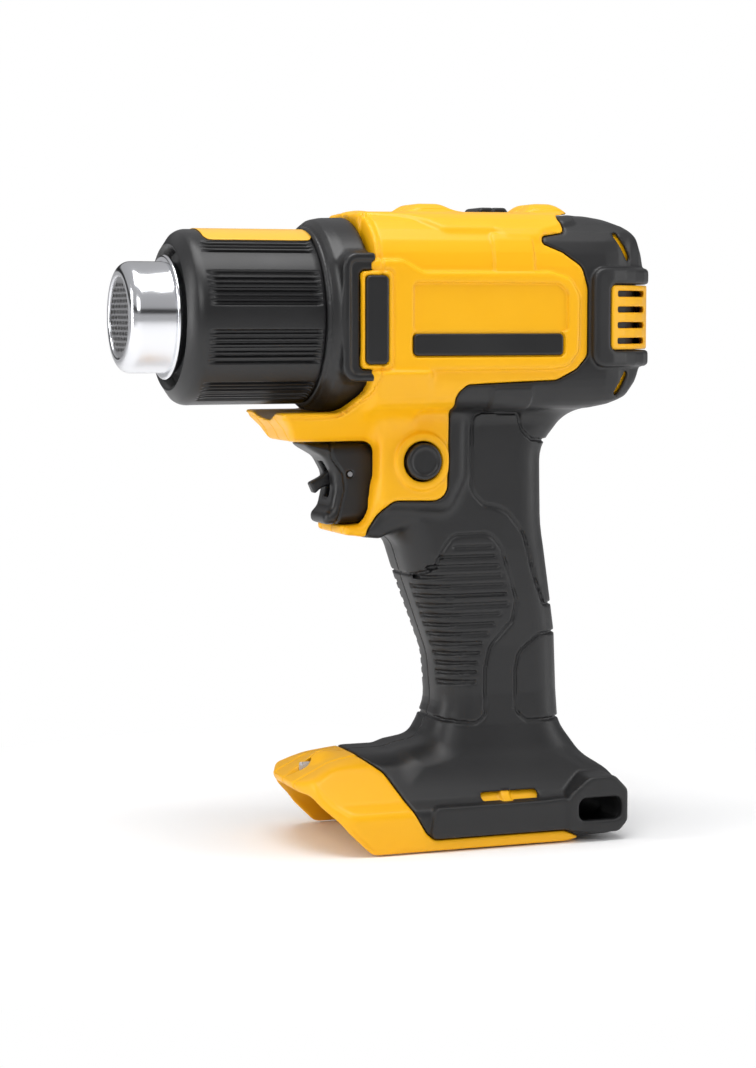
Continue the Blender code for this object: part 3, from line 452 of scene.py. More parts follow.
def raised(s, f):
    # Side plateau, pad frame, top islands, humps and the bumper frame round the vent.
    z0 = axisZ
    plateau = common(s.side([
        (-19.2, z0 + 21.2, 2), (-6.5, z0 + 21.2, 4), (1.6, z0 + 16.9, 4), (52.5, z0 + 17.1, 6),
        (61, z0 + 14.6, 5), (64.8, z0 + 8, 5), (64.4, z0 - 13, 5), (60, z0 - 18.6, 5), (53, z0 - 19.6, 3),
        (1, z0 - 19.6, 4), (-9, z0 - 23.6, 4), (-19.2, z0 - 23.6, 2)]), s.y - 37.9, 1.8)
    f = union(f, common(plateau, 30 - s.y), 0.8)
    f = union(f, padFrame(s), 0.5)
    head = headField(s)
    island = common(head - 1.1, s.plan([
        (-19, -60, 1), (-4, -60, 1), (68, -60, 1), (68, 26, 4), (53, 30.5, 3), (50, 33, 3), (36.5, 33, 3),
        (32.5, 30.5, 3), (12, 30.5, 6), (0, 23, 6), (-19, 17, 1)]), 1.2)
    f = union(f, common(island, 222 - s.z), 0.8)
    for start, rampUp, rampDown, end, rise, half in (
        (-19, -14, -9, -3.5, 1.6, 8), (2, 9, 19, 32.5, 4.6, 15), (50, 57, 67, 74, 5.2, 15)):
        hump = common(s.side([
            (start, z0 + 30, 1), (start, z0 + 37, 1), (rampUp, z0 + 38.4 + rise, 6),
            (rampDown, z0 + 38.4 + rise, 8), (end, z0 + 36.5, 1), (end, z0 + 30, 1)]),
            s.y - half + (s.z - z0 - 38) * 0.9, 4)
        f = union(f, hump, 1.6)
    for low, high in ((z0 + 14, z0 + 31.5), (z0 - 44, z0 - 26)):
        step = s.boxed((30, 46.5), (12, 60), (low, high), 1.5)
        f = union(f, common(headField(s, 0.9), step, 0.8), 0.4)
    ring = cut(
        s.side([(69.8, z0 - 18.8, 5), (122, z0 - 18.8, 1), (122, z0 + 18.8, 1), (69.8, z0 + 18.8, 5)]),
        s.side([(77.6, z0 - 12.4, 2.5), (130, z0 - 12.4, 1), (130, z0 + 12.4, 1), (77.6, z0 + 12.4, 2.5)]), 1)
    bumper = common(common(bandField(s), ring, 2.0), 69 - s.x)
    f = union(f, bumper, 0.9)
    seat = common(bandField(s, -1.3), s.boxed((76, 130), (-9, 60), (z0 - 14, z0 + 14), 1))
    return union(f, seat, 0.4)


def padFrame(s):
    z0 = axisZ
    return s.boxed((-23.1, -11.0), (33, 38.6), (z0 - 18.8, z0 + 16.9), 1.6)


def footTrim(s, f):
    # Side bar, rear lobe and lamp boss of the foot.
    bar = common(
        s.side([(4.4, 5.4, 2.5), (64, 5.4, 2), (64, 18.2, 6), (52, 17.4, 3), (6.4, 17.4, 2.5)]), s.y - 37.7, 1.2)
    lobe = common(s.side([
        (60.5, 5.2, 2), (72, 3.4, 3), (82.5, 3.4, 3.5), (86.1, 7.4, 3.5), (86.1, 19.6, 3.5), (80.6, 25.4, 4),
        (70, 25.4, 5), (61, 18.4, 4)]), s.y - 38.3, 1.6)
    f = union(union(f, common(bar, 28 - s.y), 0.6), common(lobe, 16 - s.y, 1), 1.0)
    boss = np.sqrt((s.x + 24.5) ** 2 + (s.y * 0.92) ** 2 + (s.z - 27.4) ** 2) - 8.2
    f = union(f, boss, 2.2)
    return cut(f, np.maximum(np.sqrt(s.y ** 2 + (s.z - 29.6) ** 2) - 2.8, s.x + 26), 0.5)


def dockField(s):
    return common(
        s.side([(-80, -9, 1), (60, -9, 1), (60, 16, 1), (-20, 16, 6), (-38, 22.4, 4), (-80, 22.4, 1)]),
        s.section([(-60, -9, 1), (32.6, -9, 1), (32.6, 12, 8), (22, 22.4, 10), (-60, 22.4, 1)]), 0.8)


def hollowed(s, f, body):
    # The inside of the mouldings, and the openings for dock, trigger, button, slider, vent and hook.
    z0 = axisZ
    dock = dockField(s)
    f = cut(f, np.maximum(body + shell["wall"], 2.6 - dock))
    rail = s.boxed((-6, 62), (28, 36), (4, 7.4), 0.6)
    f = cut(f, cut(dock, rail, 0.3), 0.8)
    pocket = common(s.side([
        (-60, z0 - 46.75, 1), (1.8, z0 - 46.75, 8.6), (1.8, z0 - 66.4, 8.6), (-3.6, z0 - 78.0, 6.4),
        (-60, z0 - 78.0, 1)]),
        s.y - 11.1, 0.8)
    f = cut(f, pocket, 0.9)
    f = cut(f, common(s.turned(button["x"], button["z"], button["room"]), 12 - s.y), 0.5)
    f = cut(f, s.boxed((31.4, 51.2), (-8.6, 8.6), (z0 + 31, z0 + 60), 0.8), 0.5)
    f = cut(f, s.boxed((29.3, 53.2), (-10.2, 10.2), (z0 + 28, z0 + 34.2), 0.3))
    window = s.side([
        (77.4, z0 - 12.6, 2.5), (140, z0 - 12.6, 1), (140, z0 + 12.6, 1), (77.4, z0 + 12.6, 2.5)])
    f = cut(f, common(window, -(bandField(s) + 6.5)), 0.4)
    hook = s.side([(65.4, 8.4, 3), (83.2, 8.4, 3), (83.2, 17.2, 3), (65.4, 17.2, 3)])
    return cut(f, hook, 1.2)


def buildShells():
    s = Space((-53, 109), (-2.1, 41), (-2.5, 249), grid)
    z0 = axisZ
    body = bodyField(s)
    body = union(body, common(s.turned(button["x"], button["z"], button["boss"]), s.y - shell["neckHalf"] - 1.7, 1.2), 1.6)
    body = raised(s, body)
    body = footTrim(s, body)
    zone = gripZone(s)
    upper, palm, lower = pieceLines(s)
    black = body
    for line in (upper, palm, lower):
        black = groove(black, line, 0.62, 0.8)
    ribs = np.maximum(palmRibs(s), 8 - s.y)
    black = np.maximum(black, np.minimum(0.72 - ribs, black + 0.8))
    window = common(s.boxed((27.6, 51), (24, 50), (17.7, 20.4), 1.0), -(body + 1.6))
    insert = common(s.boxed((25, 54), (14, 50), (15, 23), 1.0), body + 1.7)
    web = common(s.boxed((35.9, 40), (14, 50), (17, 21), 0.5), body + 0.5)
    black = cut(cut(black, window, 0.4), union(insert, web) - 0.15)
    slits = np.minimum(
        toLine(s.x[:, 0], s.z[0], 81.8, z0 + 31, 86.4, z0 + 22.4),
        toLine(s.x[:, 0], s.z[0], 81.4, z0 - 28.6, 85.8, z0 - 21.4)).reshape(s.x.size, 1, -1)
    bed = common(common(slits - 3, body + 1.7), 14 - s.y)
    black = cut(black, union(common(common(slits - 0.95, 14 - s.y), -(body + 1.6)), bed - 0.15), 0.3)
    logo = common(s.side([
        (-2.6, z0 - 5.2, 1.5), (59.6, z0 - 5.2, 1.5), (59.6, z0 + 9.5, 4), (55.6, z0 + 12.8, 3),
        (-2.6, z0 + 12.8, 2)]), 36.7 - s.y, 0.3)
    strip = common(s.side([
        (-3.2, z0 - 14.8, 2.2), (58.4, z0 - 14.8, 2.2), (58.4, z0 - 5.4, 2.2), (-3.2, z0 - 5.4, 2.2)]), 36.4 - s.y)
    pad = s.boxed((-21.9, -12.1), (36.9, 60), (z0 - 17.6, z0 + 15.7), 1.4)
    yellow = cut(cut(cut(body, logo, 0.3), strip, 0.2), pad, 0.3)
    lip = s.side([
        (-52, z0 - 36.9, 1.2), (-27, z0 - 36.9, 8), (-17.5, z0 - 28.6, 6), (-14.9, z0 - 19, 6), (-14.9, z0 + 60, 1),
        (140, z0 + 60, 1), (140, -60, 1), (-52, -60, 1)])
    yellow = groove(yellow, np.maximum(lip, 12 - s.y), 0.4, 0.5)
    frameLine = s.side([
        (-23.6, z0 - 19.3, 2.4), (-10.5, z0 - 19.3, 2.4), (-10.5, z0 + 17.4, 2.4), (-23.6, z0 + 17.4, 2.4)])
    yellow = groove(yellow, np.maximum(frameLine, 30 - s.y), 0.35, 0.45)
    collarRoom = common(np.hypot(s.y, s.z - z0) - 38.2, s.x + 17.2)
    yellow = cut(yellow, cut(collarRoom, common(padFrame(s), 36 - s.y) - 0.01), 0.4)
    yellowPart = union(common(yellow, -zone + 0.12, 0.9), union(union(insert, web), bed))
    blackPart = common(black, zone + 0.12, 0.9)
    for word, f, material, nodes in (
        ("housing", yellowPart, yellowNylon, ["housing_SIDE"]),
        ("overmould", blackPart, softRubber, ["overmold_SIDE"]),
    ):
        f = hollowed(s, f, body)
        f = common(f, shell["seam"] - s.y, 0.4)
        f = np.maximum(f, -2.05 - s.y)
        halves(word, s, f, material, nodes)


buildShells()
print("shells done")


# Turned and ribbed barrel pieces.

def revolved(name, profile, steps, radiusAt=None):
    # Turns (x, radius) points about the barrel axis; the profile is closed.
    count = len(profile)
    angles = np.arange(steps) * 2 * np.pi / steps
    x = np.array([p[0] for p in profile])
    r = np.array([p[1] for p in profile])
    radius = np.broadcast_to(r[None], (steps, count)).copy()
    if radiusAt is not None:
        radius = radiusAt(angles[:, None], x[None], radius)
    points = np.stack([
        np.broadcast_to(x[None], radius.shape),
        radius * np.cos(angles)[:, None],
        axisZ + radius * np.sin(angles)[:, None]], -1).reshape(-1, 3)
    i, j = np.meshgrid(np.arange(steps), np.arange(count), indexing="ij")
    i2, j2 = (i + 1) % steps, (j + 1) % count
    quads = np.stack([i * count + j, i * count + j2, i2 * count + j2, i2 * count + j], -1).reshape(-1, 4)
    area2 = np.sum(r * np.roll(x, -1) - np.roll(r, -1) * x)
    if area2 < 0:
        quads = quads[:, ::-1]
    obj = meshed(name, points, quads)
    obj.data.set_sharp_from_angle(angle=math.radians(40))
    return obj


def arcPoints(cx, cr, radius, start, end, count=8):
    return [
        (cx + radius * math.cos(math.radians(start + (end - start) * k / count)),
         cr + radius * math.sin(math.radians(start + (end - start) * k / count)))
        for k in range(count + 1)
    ]


guard = dict(front=-86, shoulder=-80, rear=-34.9, radius=32.6, mouth=25.3, inner=29.5, period=39.0)


def guardRadiusAt(angle, x, radius):
    # Flat lands with four narrow ribs between each two, over the straight part of the guard.
    turn = np.degrees(angle)
    turn = np.where(np.cos(angle) > 0, turn, 180 - turn)
    turn = (turn + 180) % 360 - 180
    local = np.abs((turn + guard["period"] / 2) % guard["period"] - guard["period"] / 2)
    land = 1 / (1 + np.exp((local - 8.0) * 5))
    ribs = 0.5 + 0.5 * np.cos((local - 11.4) / 3.6 * 2 * np.pi)
    ribs = np.clip(ribs * 2.2 - 0.6, 0, 1) * (local > 9.4)
    height = np.maximum(land, 0.7 * ribs)
    label = np.clip((turn - 57) / 1.5, 0, 1)
    height = np.maximum(height, label)
    along = np.clip((x + 77.8) / 1.6, 0, 1) * np.clip((-36.2 - x) / 1.2, 0, 1)
    outer = radius > guard["radius"] - 0.05
    return radius - np.where(outer, 1.5 * (1 - height) * along, 0)


def buildGuard():
    g = guard
    outer = arcPoints(g["shoulder"] + 0.6, g["radius"] - 6, 6, 90, 128, 6)[::-1]
    front = [
        (g["front"] + 0.3, g["mouth"] + 1.2), (g["front"], g["mouth"] + 1.8), (g["front"] + 0.1, g["radius"] - 5.2)]
    straight = [(x, g["radius"]) for x in np.linspace(-78.6, -36.0, 26)]
    profile = front + outer + straight + [
        (g["rear"], g["radius"] - 0.4), (g["rear"], g["inner"]), (-77, g["inner"]), (-77, 20.9), (-80, 20.9),
        (-81, 22), (-81.5, g["mouth"] - 0.8), (g["front"] + 1.4, g["mouth"])]
    obj = revolved("ribbed_guard", profile, 960, guardRadiusAt)
    dress(obj, blackNylon, "base", ["barrel_guard"])


nozzle = dict(radius=20.6, wall=1.1, mouth=15.0)


def buildNozzle():
    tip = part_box("nozzle")[0][0] * 1000
    radius, wall, mouth = nozzle["radius"], nozzle["wall"], nozzle["mouth"]
    profile = [(tip + 1.5, mouth - 0.2), (tip + 0.5, mouth), (tip + 0.12, mouth + 0.5)]
    profile += arcPoints(tip + 4.9, radius - 4.8, 4.8, 180, 90, 14)[1:]
    profile += [(tip + 8, radius), (-89, radius), (-88.2, radius + 0.2)]
    profile += arcPoints(-87.2, radius + 1.6, 0.9, 180, 0, 8)
    profile += [(-85.8, radius + 0.2), (-85, radius), (-62, radius), (-62, radius - wall), (tip + 8, radius - wall),
                (tip + 4, mouth + 1.8), (tip + 3.4, mouth + 1.5), (tip + 1.6, mouth + 1.4)]
    obj = revolved("chrome_nozzle", profile, 144)
    dress(obj, chrome, "base", ["nozzle"])
    buildGrille(tip + 0.9, mouth + 0.5)


def spreadTree(name):
    # A tree that puts the tile on each point, welds the tiles and gives them their material.
    tree = bpy.data.node_groups.new(name, "GeometryNodeTree")
    face = tree.interface
    face.new_socket("Geometry", in_out="INPUT", socket_type="NodeSocketGeometry")
    for label, kind in (("Tile", "Object"), ("Weld", "Float"), ("Material", "Material")):
        face.new_socket(label, in_out="INPUT", socket_type="NodeSocket" + kind)
    face.new_socket("Geometry", in_out="OUTPUT", socket_type="NodeSocketGeometry")
    given = tree.nodes.new("NodeGroupInput")
    made = tree.nodes.new("NodeGroupOutput")
    tile = tree.nodes.new("GeometryNodeObjectInfo")
    spread = tree.nodes.new("GeometryNodeInstanceOnPoints")
    real = tree.nodes.new("GeometryNodeRealizeInstances")
    weld = tree.nodes.new("GeometryNodeMergeByDistance")
    paint = tree.nodes.new("GeometryNodeSetMaterial")
    for a, b in (
        (given.outputs["Tile"], tile.inputs["Object"]),
        (given.outputs["Geometry"], spread.inputs["Points"]),
        (tile.outputs["Geometry"], spread.inputs["Instance"]),
        (spread.outputs["Instances"], real.inputs["Geometry"]),
        (real.outputs["Geometry"], weld.inputs["Geometry"]),
        (given.outputs["Weld"], weld.inputs["Distance"]),
        (weld.outputs["Geometry"], paint.inputs["Geometry"]),
        (given.outputs["Material"], paint.inputs["Material"]),
        (paint.outputs["Geometry"], made.inputs["Geometry"]),
    ):
        tree.links.new(a, b)
    return tree


def grilleTile(pitch, hole, thick, sides):
    # One hexagonal cell of the grille with a round hole, open along its border.
    work = bmesh.new()
    corner = pitch / math.sqrt(3)
    border = [(corner * math.cos(math.radians(30 + 60 * k)), corner * math.sin(math.radians(30 + 60 * k)))
              for k in range(6)]
    rings = []
    for k in range(sides):
        a, b = border[k // 2], border[(k // 2 + 1) % 6]
        edge = a if k % 2 == 0 else ((a[0] + b[0]) / 2, (a[1] + b[1]) / 2)
        angle = math.radians(30 + 360 / sides * k)
        inner = (hole * math.cos(angle), hole * math.sin(angle))
        rings.append([
            work.verts.new((x / 1000, y / 1000, z / 1000))
            for x, (y, z) in ((0, edge), (0, inner), (thick, inner), (thick, edge))])
    for k in range(sides):
        a, b = rings[k], rings[(k + 1) % sides]
        for n in range(3):
            work.faces.new((a[n], a[n + 1], b[n + 1], b[n]))
    mesh = bpy.data.meshes.new("grille_tile")
    work.to_mesh(mesh)
    work.free()
    return bpy.data.objects.new("grille_tile", mesh)


def buildGrille(front, radius):
    # A pressed steel disc with round holes on a triangular pitch, and a plain rim.
    size = dict(pitch=2.3, hole=0.8, thick=0.5, sides=12, rim=2.2)
    tile = grilleTile(size["pitch"], size["hole"], size["thick"], size["sides"])
    span = int(radius / size["pitch"]) + 3
    centres = [
        (front / 1000, (column + 0.5 * (row % 2)) * size["pitch"] / 1000,
         (axisZ + row * size["pitch"] * math.sqrt(3) / 2) / 1000)
        for row in range(-span, span + 1) for column in range(-span, span + 1)
        if math.hypot((column + 0.5 * (row % 2)), row * math.sqrt(3) / 2) * size["pitch"] < radius - 1.2]
    mesh = bpy.data.meshes.new("grille_centres")
    mesh.from_pydata(centres, [], [])
    points = bpy.data.objects.new("grille_centres", mesh)
    bpy.context.scene.collection.objects.link(points)
    modifier = points.modifiers.new("spread", "NODES")
    tree = spreadTree("grille_spread")
    modifier.node_group = tree
    given = {item.name: item.identifier for item in tree.interface.items_tree if item.in_out == "INPUT"}
    modifier[given["Tile"]] = tile
    modifier[given["Weld"]] = 2e-6
    modifier[given["Material"]] = steel
    graph = bpy.context.evaluated_depsgraph_get()
    made = bpy.data.meshes.new_from_object(points.evaluated_get(graph))
    points.modifiers.clear()
    bpy.data.objects.remove(points)
    bpy.data.objects.remove(tile)
    disc = bpy.data.objects.new("grille_disc", made)
    bpy.context.scene.collection.objects.link(disc)
    dress(disc, steel, "base", ["nozzle_grille"])
    rim = [(front - 0.1, radius - size["rim"]), (front - 0.1, radius), (front + 0.6, radius),
           (front + 0.6, radius - size["rim"])]
    dress(revolved("grille_rim", rim, 96), steel, "base")


def buildCollar():
    # The flared black collar, with a raised block on each side in front of the pad.
    s = Space((-37, -15), (-1.4, 40), (axisZ - 40, axisZ + 41), min(grid, 0.6))
    z0 = axisZ
    radial = np.hypot(s.y, s.z - z0)
    flare = np.interp(s.x, [-36, -34.7, -30.5, -27, -20, -15], [32.8, 33.3, 36.6, 37.3, 37.5, 37.5])
    f = common((radial - flare) * 0.8, np.abs(s.x + 26.2) - 8.5, 1.0)
    outline = s.side([(-29.9, z0 - 23.4, 5.5), (0, z0 - 23.4, 1), (0, z0 + 23.6, 1), (-29.9, z0 + 23.6, 5.5)])
    f = union(f, common(common(outline, s.y - 37.9, 1.6), s.x + 17.7, 0.5), 2.2)
    f = cut(f, common(outline + 2.6, 37.0 - s.y, 0.8), 0.5)
    f = groove(f, s.x + 33.2, 0.3, 0.4)
    f = cut(f, radial - 30.3, 0.3)
    f = cut(f, padFrame(s) - 0.25, 0.3)
    f = cut(f, s.boxed((-80, -16), (-9, 40), (z0 - 60, z0 - 35.0), 0.5), 0.3)
    f = np.maximum(f, 0.0 - s.y - 0.9)
    points, quads = surface(s, common(f, -s.y, 0.2))
    for side, mirror in sides:
        obj = meshed(f"collar_{side}", points, quads, mirror)
        dress(obj, blackNylon, "base", ["front_collar"] if mirror < 0 else [])


def buildLabel():
    # A bare label film on top of the guard, with round corners.
    size = dict(front=-76.2, rear=-34.6, span=61, corner=3.0, lift=0.12, thick=0.25, rows=40, columns=48)
    front, corner, rows, columns = size["front"], size["corner"], size["rows"], size["columns"]
    length, span, radius = size["rear"] - front, math.radians(size["span"]), guard["radius"] + size["lift"]
    points = []
    for i in range(rows + 1):
        u = i / rows * length
        edge = min(u, length - u)
        inset = corner - math.sqrt(max(corner ** 2 - (corner - min(edge, corner)) ** 2, 0))
        half = span / 2 - inset / radius
        for j in range(columns + 1):
            angle = math.pi / 2 + (j / columns * 2 - 1) * half
            points.append((front + u, radius * math.cos(angle), axisZ + radius * math.sin(angle)))
    quads = [
        (at, at + columns + 1, at + columns + 2, at + 1)
        for at in (i * (columns + 1) + j for i in range(rows) for j in range(columns))]
    count, grow = len(points), (radius + size["thick"]) / radius
    points += [(x, y * grow, axisZ + (z - axisZ) * grow) for x, y, z in points]
    under = np.array(quads)
    top = under[:, ::-1] + count
    edges = {(int(q[k]), int(q[(k + 1) % 4])) for q in top for k in range(4)}
    rim = [(b, a, a - count, b - count) for a, b in sorted(edges) if (b, a) not in edges]
    obj = meshed("bare_label", np.array(points), np.concatenate([under, top, rim]))
    dress(obj, labelFilm, "base", ["guard_label"])


buildGuard()
buildNozzle()
buildCollar()
buildLabel()
print("barrel done")


# Small pieces with rounded edges.

def lump(name, space, field, material, body, nodes, mirror=1):
    # One piece from a field over a small grid; mirror -1 puts it on the -Y side.
    points, quads = surface(space, field)
    return dress(meshed(name, points, quads, mirror), material, body, nodes)


def buildPads():
    z0 = axisZ
    s = Space((-24, -10), (33, 40.5), (z0 - 20, z0 + 18), 0.4)
    pad = common(s.side([
        (-21.6, z0 - 17.2, 2), (-12.4, z0 - 17.2, 2), (-12.4, z0 + 15.4, 2), (-21.6, z0 + 15.4, 2)]),
        np.abs(s.y - 36.8) - 1.8, 1.2)
    s2 = Space((-5, 60), (34, 40), (z0 - 17, z0 - 3), 0.4)
    strip = common(s2.side([
        (-2.6, z0 - 14.2, 1.8), (57.8, z0 - 14.2, 1.8), (57.8, z0 - 6, 1.8), (-2.6, z0 - 6, 1.8)]),
        np.abs(s2.y - 36) - 1.6, 0.9)
    for side, mirror in sides:
        lump(f"pad_{side}", s, pad, blackNylon, "base", [f"side_pad_{side}"], mirror)
        lump(f"strip_{side}", s2, strip, blackNylon, "base", [f"badge_strip_{side}"], mirror)


vent = dict(slots=4, pitch=5.95, half=1.15)


def buildCage():
    # The slotted yellow inlet, with a dark liner behind its slots.
    z0 = axisZ
    s = Space((74, 107), (-2.1, 38.5), (z0 - 15, z0 + 15), 0.5)
    head = bandField(s, -0.7)
    f = common(head, s.boxed((77.7, 130), (-9, 60), (z0 - 12.2, z0 + 12.2), 1.4), 0.6)
    f = cut(f, head + 2.6)
    for k in range(vent["slots"]):
        middle = z0 + (k - (vent["slots"] - 1) / 2) * vent["pitch"]
        slot = s.boxed((80.6, 96.2), (13, 60), (middle - vent["half"], middle + vent["half"]), 0.8)
        f = cut(f, slot, 0.5)
    f = common(f, 0.05 - s.y, 0.2)
    points, quads = surface(s, f)
    for side, mirror in sides:
        obj = meshed(f"vent_cage_{side}", points, quads, mirror)
        dress(obj, yellowNylon, "base", ["rear_vent_cage"] if mirror < 0 else [])
    liner = common(common(head + 4.2, s.boxed((77, 130), (-9, 60), (z0 - 13.4, z0 + 13.4), 1)), -(head + 5.6))
    liner = common(liner, 0.05 - s.y)
    points, quads = surface(s, liner)
    for side, mirror in sides:
        dress(meshed(f"vent_liner_{side}", points, quads, mirror), blackNylon, "base")


trigger = dict(top=axisZ - 47.1, bottom=axisZ - 77.6, half=10.5, pinX=-18, pinZ=axisZ - 59)


def buildTrigger():
    z0 = axisZ
    top, bottom = trigger["top"], trigger["bottom"]
    s = Space((-40, -2), (-13, 13), (bottom - 2, top + 2), 0.45)
    f = common(s.side([
        (-27.6, bottom - 0.6, 3.4), (-10.4, bottom, 7), (-5, bottom + 11, 9), (-5, top, 9),
        (-36.2, top, 0.8), (-33.5, top - 2.2, 3), (-27.5, top - 5.6, 6), (-24.2, top - 11.5, 6),
        (-23.7, top - 18, 7), (-25.2, top - 24.5, 5), (-28, bottom + 3, 3)]), np.abs(s.y) - trigger["half"], 4.2)
    slot = common(s.boxed((-60, -12.6), (-2.9, 2.9), (z0 - 68, z0 - 54.5), 0.8), s.x + 12.5)
    f = cut(f, slot, 0.8)
    f = cut(f, common(s.turned(trigger["pinX"], trigger["pinZ"], 1.35), 8 - np.abs(s.y)), 0.3)
    ridge = s.side([
        (-24.4, bottom - 5, 1), (20, bottom - 5, 1), (20, top + 5, 1), (-27, top + 5, 1), (-25, top - 6, 5),
        (-20.6, top - 11.5, 6), (-20, top - 18, 7), (-21.6, top - 24.5, 6)])
    f = groove(f, np.maximum(ridge, 6 - np.abs(s.y)), 0.45, 0.45)
    lump("trigger_shell", s, f, blackNylon, "trigger_body", ["trigger"])
    s = Space((-34, -13), (-3.4, 3.4), (z0 - 70, z0 - 54), 0.3)
    f = common(s.side([
        (-20.2, z0 - 62.6, 1.5), (-15, z0 - 61.6, 2), (-15, z0 - 56.4, 2), (-21, z0 - 56.2, 2),
        (-27, z0 - 60.5, 2), (-31.3, z0 - 62.6, 0.8), (-29.3, z0 - 67, 0.8), (-26.4, z0 - 64.6, 2)]),
        np.abs(s.y) - 2.2, 1.2)
    f = cut(f, s.turned(trigger["pinX"], trigger["pinZ"], 1.3))
    lump("lock_lever_blade", s, f, blackNylon, "lock_lever_body", ["lock_lever"])


def buildButton():
    # Round button caps with a shallow dish and a raised rim, on one bar.
    z0 = axisZ
    s = Space((-2, 15), (-28, 28), (z0 - 63, z0 - 45), 0.4)
    radial = s.turned(button["x"], button["z"], 0)
    away = np.abs(s.y)
    cap = common(radial - button["cap"], np.abs(away - 20.4) - 5.6, 1.6)
    dish = common(radial - 5.0, 25.4 - away, 0.5)
    cap = cut(cap, dish, 0.5)
    caps = union(cap, common(radial - 3, away - 16))
    lump("button_caps", s, caps, blackNylon, "button_body", ["lock_off_button"])


slide = dict(front=33.8, rear=48.8, half=7.9, low=axisZ + 34.2)


def buildSlider():
    z0 = axisZ
    s = Space((27, 56), (-12, 12), (z0 + 30, z0 + 46), 0.4)
    front, rear, low = slide["front"], slide["rear"], slide["low"]
    f = common(s.side([
        (front, low - 1.2, 1), (rear, low - 1.2, 1), (rear, z0 + 38.4, 1), (46.4, z0 + 41.9, 1.5),
        (36, z0 + 41.9, 1.5), (front, z0 + 38.4, 1)]), np.abs(s.y) - slide["half"], 1.4)
    f = groove(f, s.x - 41.3, 0.35, 0.5)
    f = union(f, s.boxed((31.9, 50.6), (-9.6, 9.6), (low - 2.2, low - 0.5), 0.3))
    lump("slide_switch", s, f, blackNylon, "slider_body", ["temperature_switch"])


buildPads()
buildCage()
buildTrigger()
buildButton()
buildSlider()
print("controls done")


# CAD pieces that stay as they are, in their own finishes.

finishes = [
    (steel, ["motor_shaft", "trigger_pin", "trigger_spring", "motor_can", "thermal_cutout"]),
    (darkSteel, ["heat_tube", "heater_coil", "motor_magnet_1", "motor_magnet_2"]),
    (copper, ["motor_armature"] + [f"terminal_blade_{k}" for k in range(1, 5)]),
    (mica, ["mica_sleeve", "heater_plate"]),
    (ceramic, ["heater_core", "tube_mount"]),
    (board, ["control_board", "switch_board", "led_board"]),
    (aluminium, ["heat_sink"]),
    (lampLens, ["led_lens"]),
    (redWire, ["battery_lead_positive", "heater_lead_positive", "motor_lead_positive"]),
    (blackWire, ["battery_lead_negative", "heater_lead_negative", "motor_lead_negative"]),
    (blackNylon, ["fan_impeller", "fan_shroud", "motor_cap", "trigger_switch", "switch_block", "terminal_block"]),
    (steel, [f"housing_screw_{k}" for k in range(1, 8)]),
]
for material, names in finishes:
    for name in names:
        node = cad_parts[name]
        node.data.materials.clear()
        node.data.materials.append(material)


# Stage, lights and camera.

def stageMesh():
    # A pale floor; the camera sees it fade into white away from the tool, and its shadow stays.
    mesh = bpy.data.meshes.new("floor")
    mesh.from_pydata([(-4, -4, 0), (4, -4, 0), (4, 4, 0), (-4, 4, 0)], [], [(0, 1, 2, 3)])
    floor = bpy.data.objects.new("floor", mesh)
    bpy.context.scene.collection.objects.link(floor)
    material = newMaterial("white_paper", "ffffff", 0.9)
    shader = shaderOf(material)
    shader.inputs["Specular IOR Level"].default_value = 0.1
    tree = material.node_tree
    place = addNode(material, "ShaderNodeTexCoord").outputs["Object"]
    distance = addNode(material, "ShaderNodeVectorMath", [(0, place)], operation="LENGTH").outputs["Value"]
    fade = addNode(material, "ShaderNodeMapRange", [
        ("Value", distance), ("From Min", 0.11), ("From Max", 0.27)], interpolation_type="SMOOTHSTEP")
    seen = addNode(material, "ShaderNodeLightPath").outputs["Is Camera Ray"]
    both = addNode(material, "ShaderNodeMath", [(0, fade.outputs["Result"]), (1, seen)], operation="MULTIPLY")
    white = addNode(material, "ShaderNodeEmission", [("Strength", 1.0)])
    mix = addNode(material, "ShaderNodeMixShader", [(0, both.outputs[0])])
    tree.links.new(shader.outputs[0], mix.inputs[1])
    tree.links.new(white.outputs[0], mix.inputs[2])
    tree.links.new(mix.outputs[0], tree.nodes["Material Output"].inputs["Surface"])
    mesh.materials.append(material)


def areaLight(name, place, target, size, power):
    light = bpy.data.lights.new(name, "AREA")
    light.shape = "RECTANGLE"
    light.size, light.size_y = size
    light.energy = power
    obj = bpy.data.objects.new(name, light)
    obj.location = place
    obj.rotation_euler = (Vector(target) - Vector(place)).to_track_quat("-Z", "Y").to_euler()
    bpy.context.scene.collection.objects.link(obj)


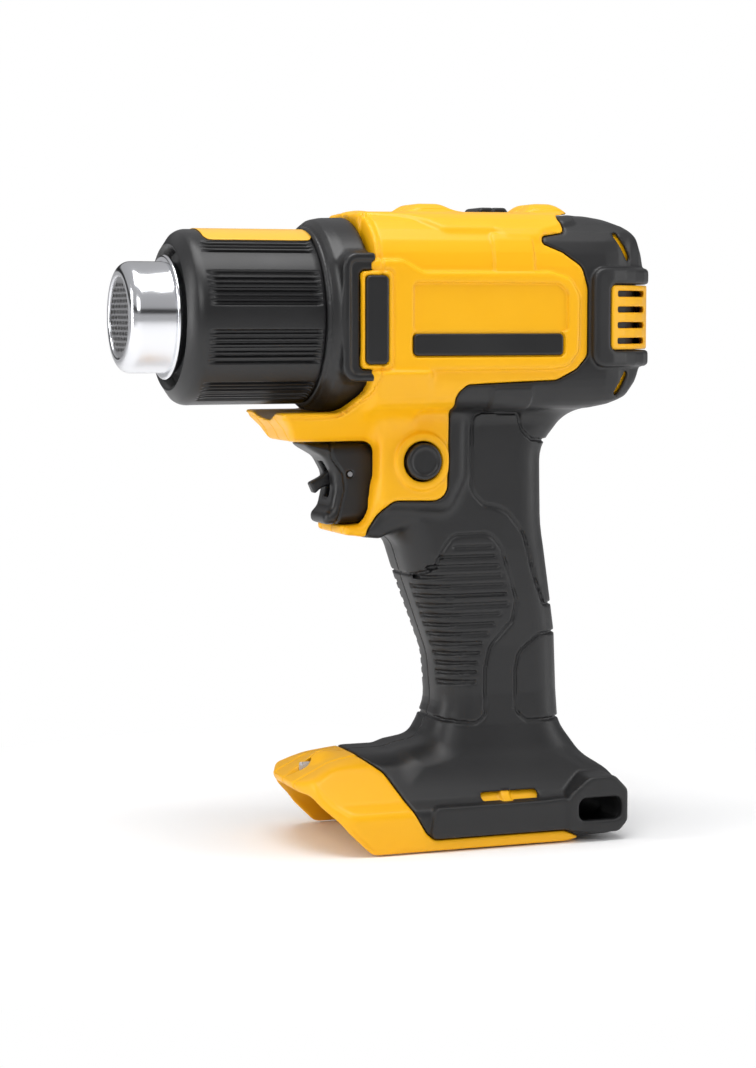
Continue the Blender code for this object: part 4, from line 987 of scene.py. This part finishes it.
def buildLights():
    middle = (0, 0, 0.14)
    areaLight("top_softbox", (-0.1, -0.15, 1.15), middle, (0.9, 0.7), 9)
    areaLight("key_softbox", (-0.75, -0.95, 0.75), middle, (0.5, 0.5), 3.6)
    areaLight("side_strip", (1.0, -0.5, 0.35), middle, (0.2, 0.9), 3)
    areaLight("left_strip", (-1.05, 0.1, 0.3), middle, (0.2, 0.9), 4)
    world = bpy.data.worlds.new("studio")
    world.use_nodes = True
    bpy.context.scene.world = world
    tree = world.node_tree
    place = tree.nodes.new("ShaderNodeTexCoord")
    height = tree.nodes.new("ShaderNodeSeparateXYZ")
    ramp = tree.nodes.new("ShaderNodeValToRGB")
    shades = [(0.0, 0.46), (0.1, 0.46), (0.14, 0.02), (0.26, 0.02), (0.32, 0.42), (1.0, 0.5)]
    while len(ramp.color_ramp.elements) < len(shades):
        ramp.color_ramp.elements.new(0.5)
    for element, (position, shade) in zip(ramp.color_ramp.elements, shades):
        element.position = position
        element.color = (shade, shade, shade * 1.02, 1)
    back = tree.nodes["Background"]
    back.inputs["Strength"].default_value = 1.0
    seen = tree.nodes.new("ShaderNodeBackground")
    seen.inputs["Color"].default_value = (1, 1, 1, 1)
    seen.inputs["Strength"].default_value = 1.0
    path = tree.nodes.new("ShaderNodeLightPath")
    mix = tree.nodes.new("ShaderNodeMixShader")
    tree.links.new(place.outputs["Generated"], height.inputs[0])
    tree.links.new(height.outputs["Z"], ramp.inputs["Fac"])
    tree.links.new(ramp.outputs["Color"], back.inputs["Color"])
    tree.links.new(path.outputs["Is Camera Ray"], mix.inputs[0])
    tree.links.new(back.outputs[0], mix.inputs[1])
    tree.links.new(seen.outputs[0], mix.inputs[2])
    tree.links.new(mix.outputs[0], tree.nodes["World Output"].inputs["Surface"])
    bpy.context.scene.view_settings.view_transform = "Standard"


view = dict(lens=84.3, azimuth=-20, elevation=5, distance=0.9615, target=(-0.003, 0, 0.118))


def buildCamera():
    data = bpy.data.cameras.new("camera")
    data.lens = view["lens"]
    data.sensor_width = 36
    camera = bpy.data.objects.new("camera", data)
    bpy.context.scene.collection.objects.link(camera)
    azimuth, elevation = math.radians(view["azimuth"]), math.radians(view["elevation"])
    back = Vector((math.sin(azimuth) * math.cos(elevation), -math.cos(azimuth) * math.cos(elevation),
                   math.sin(elevation)))
    camera.location = Vector(view["target"]) + back * view["distance"]
    camera.rotation_euler = (-back).to_track_quat("-Z", "Y").to_euler()
    data.clip_start, data.clip_end = 0.01, 20
    bpy.context.scene.camera = camera


stageMesh()
buildLights()
buildCamera()
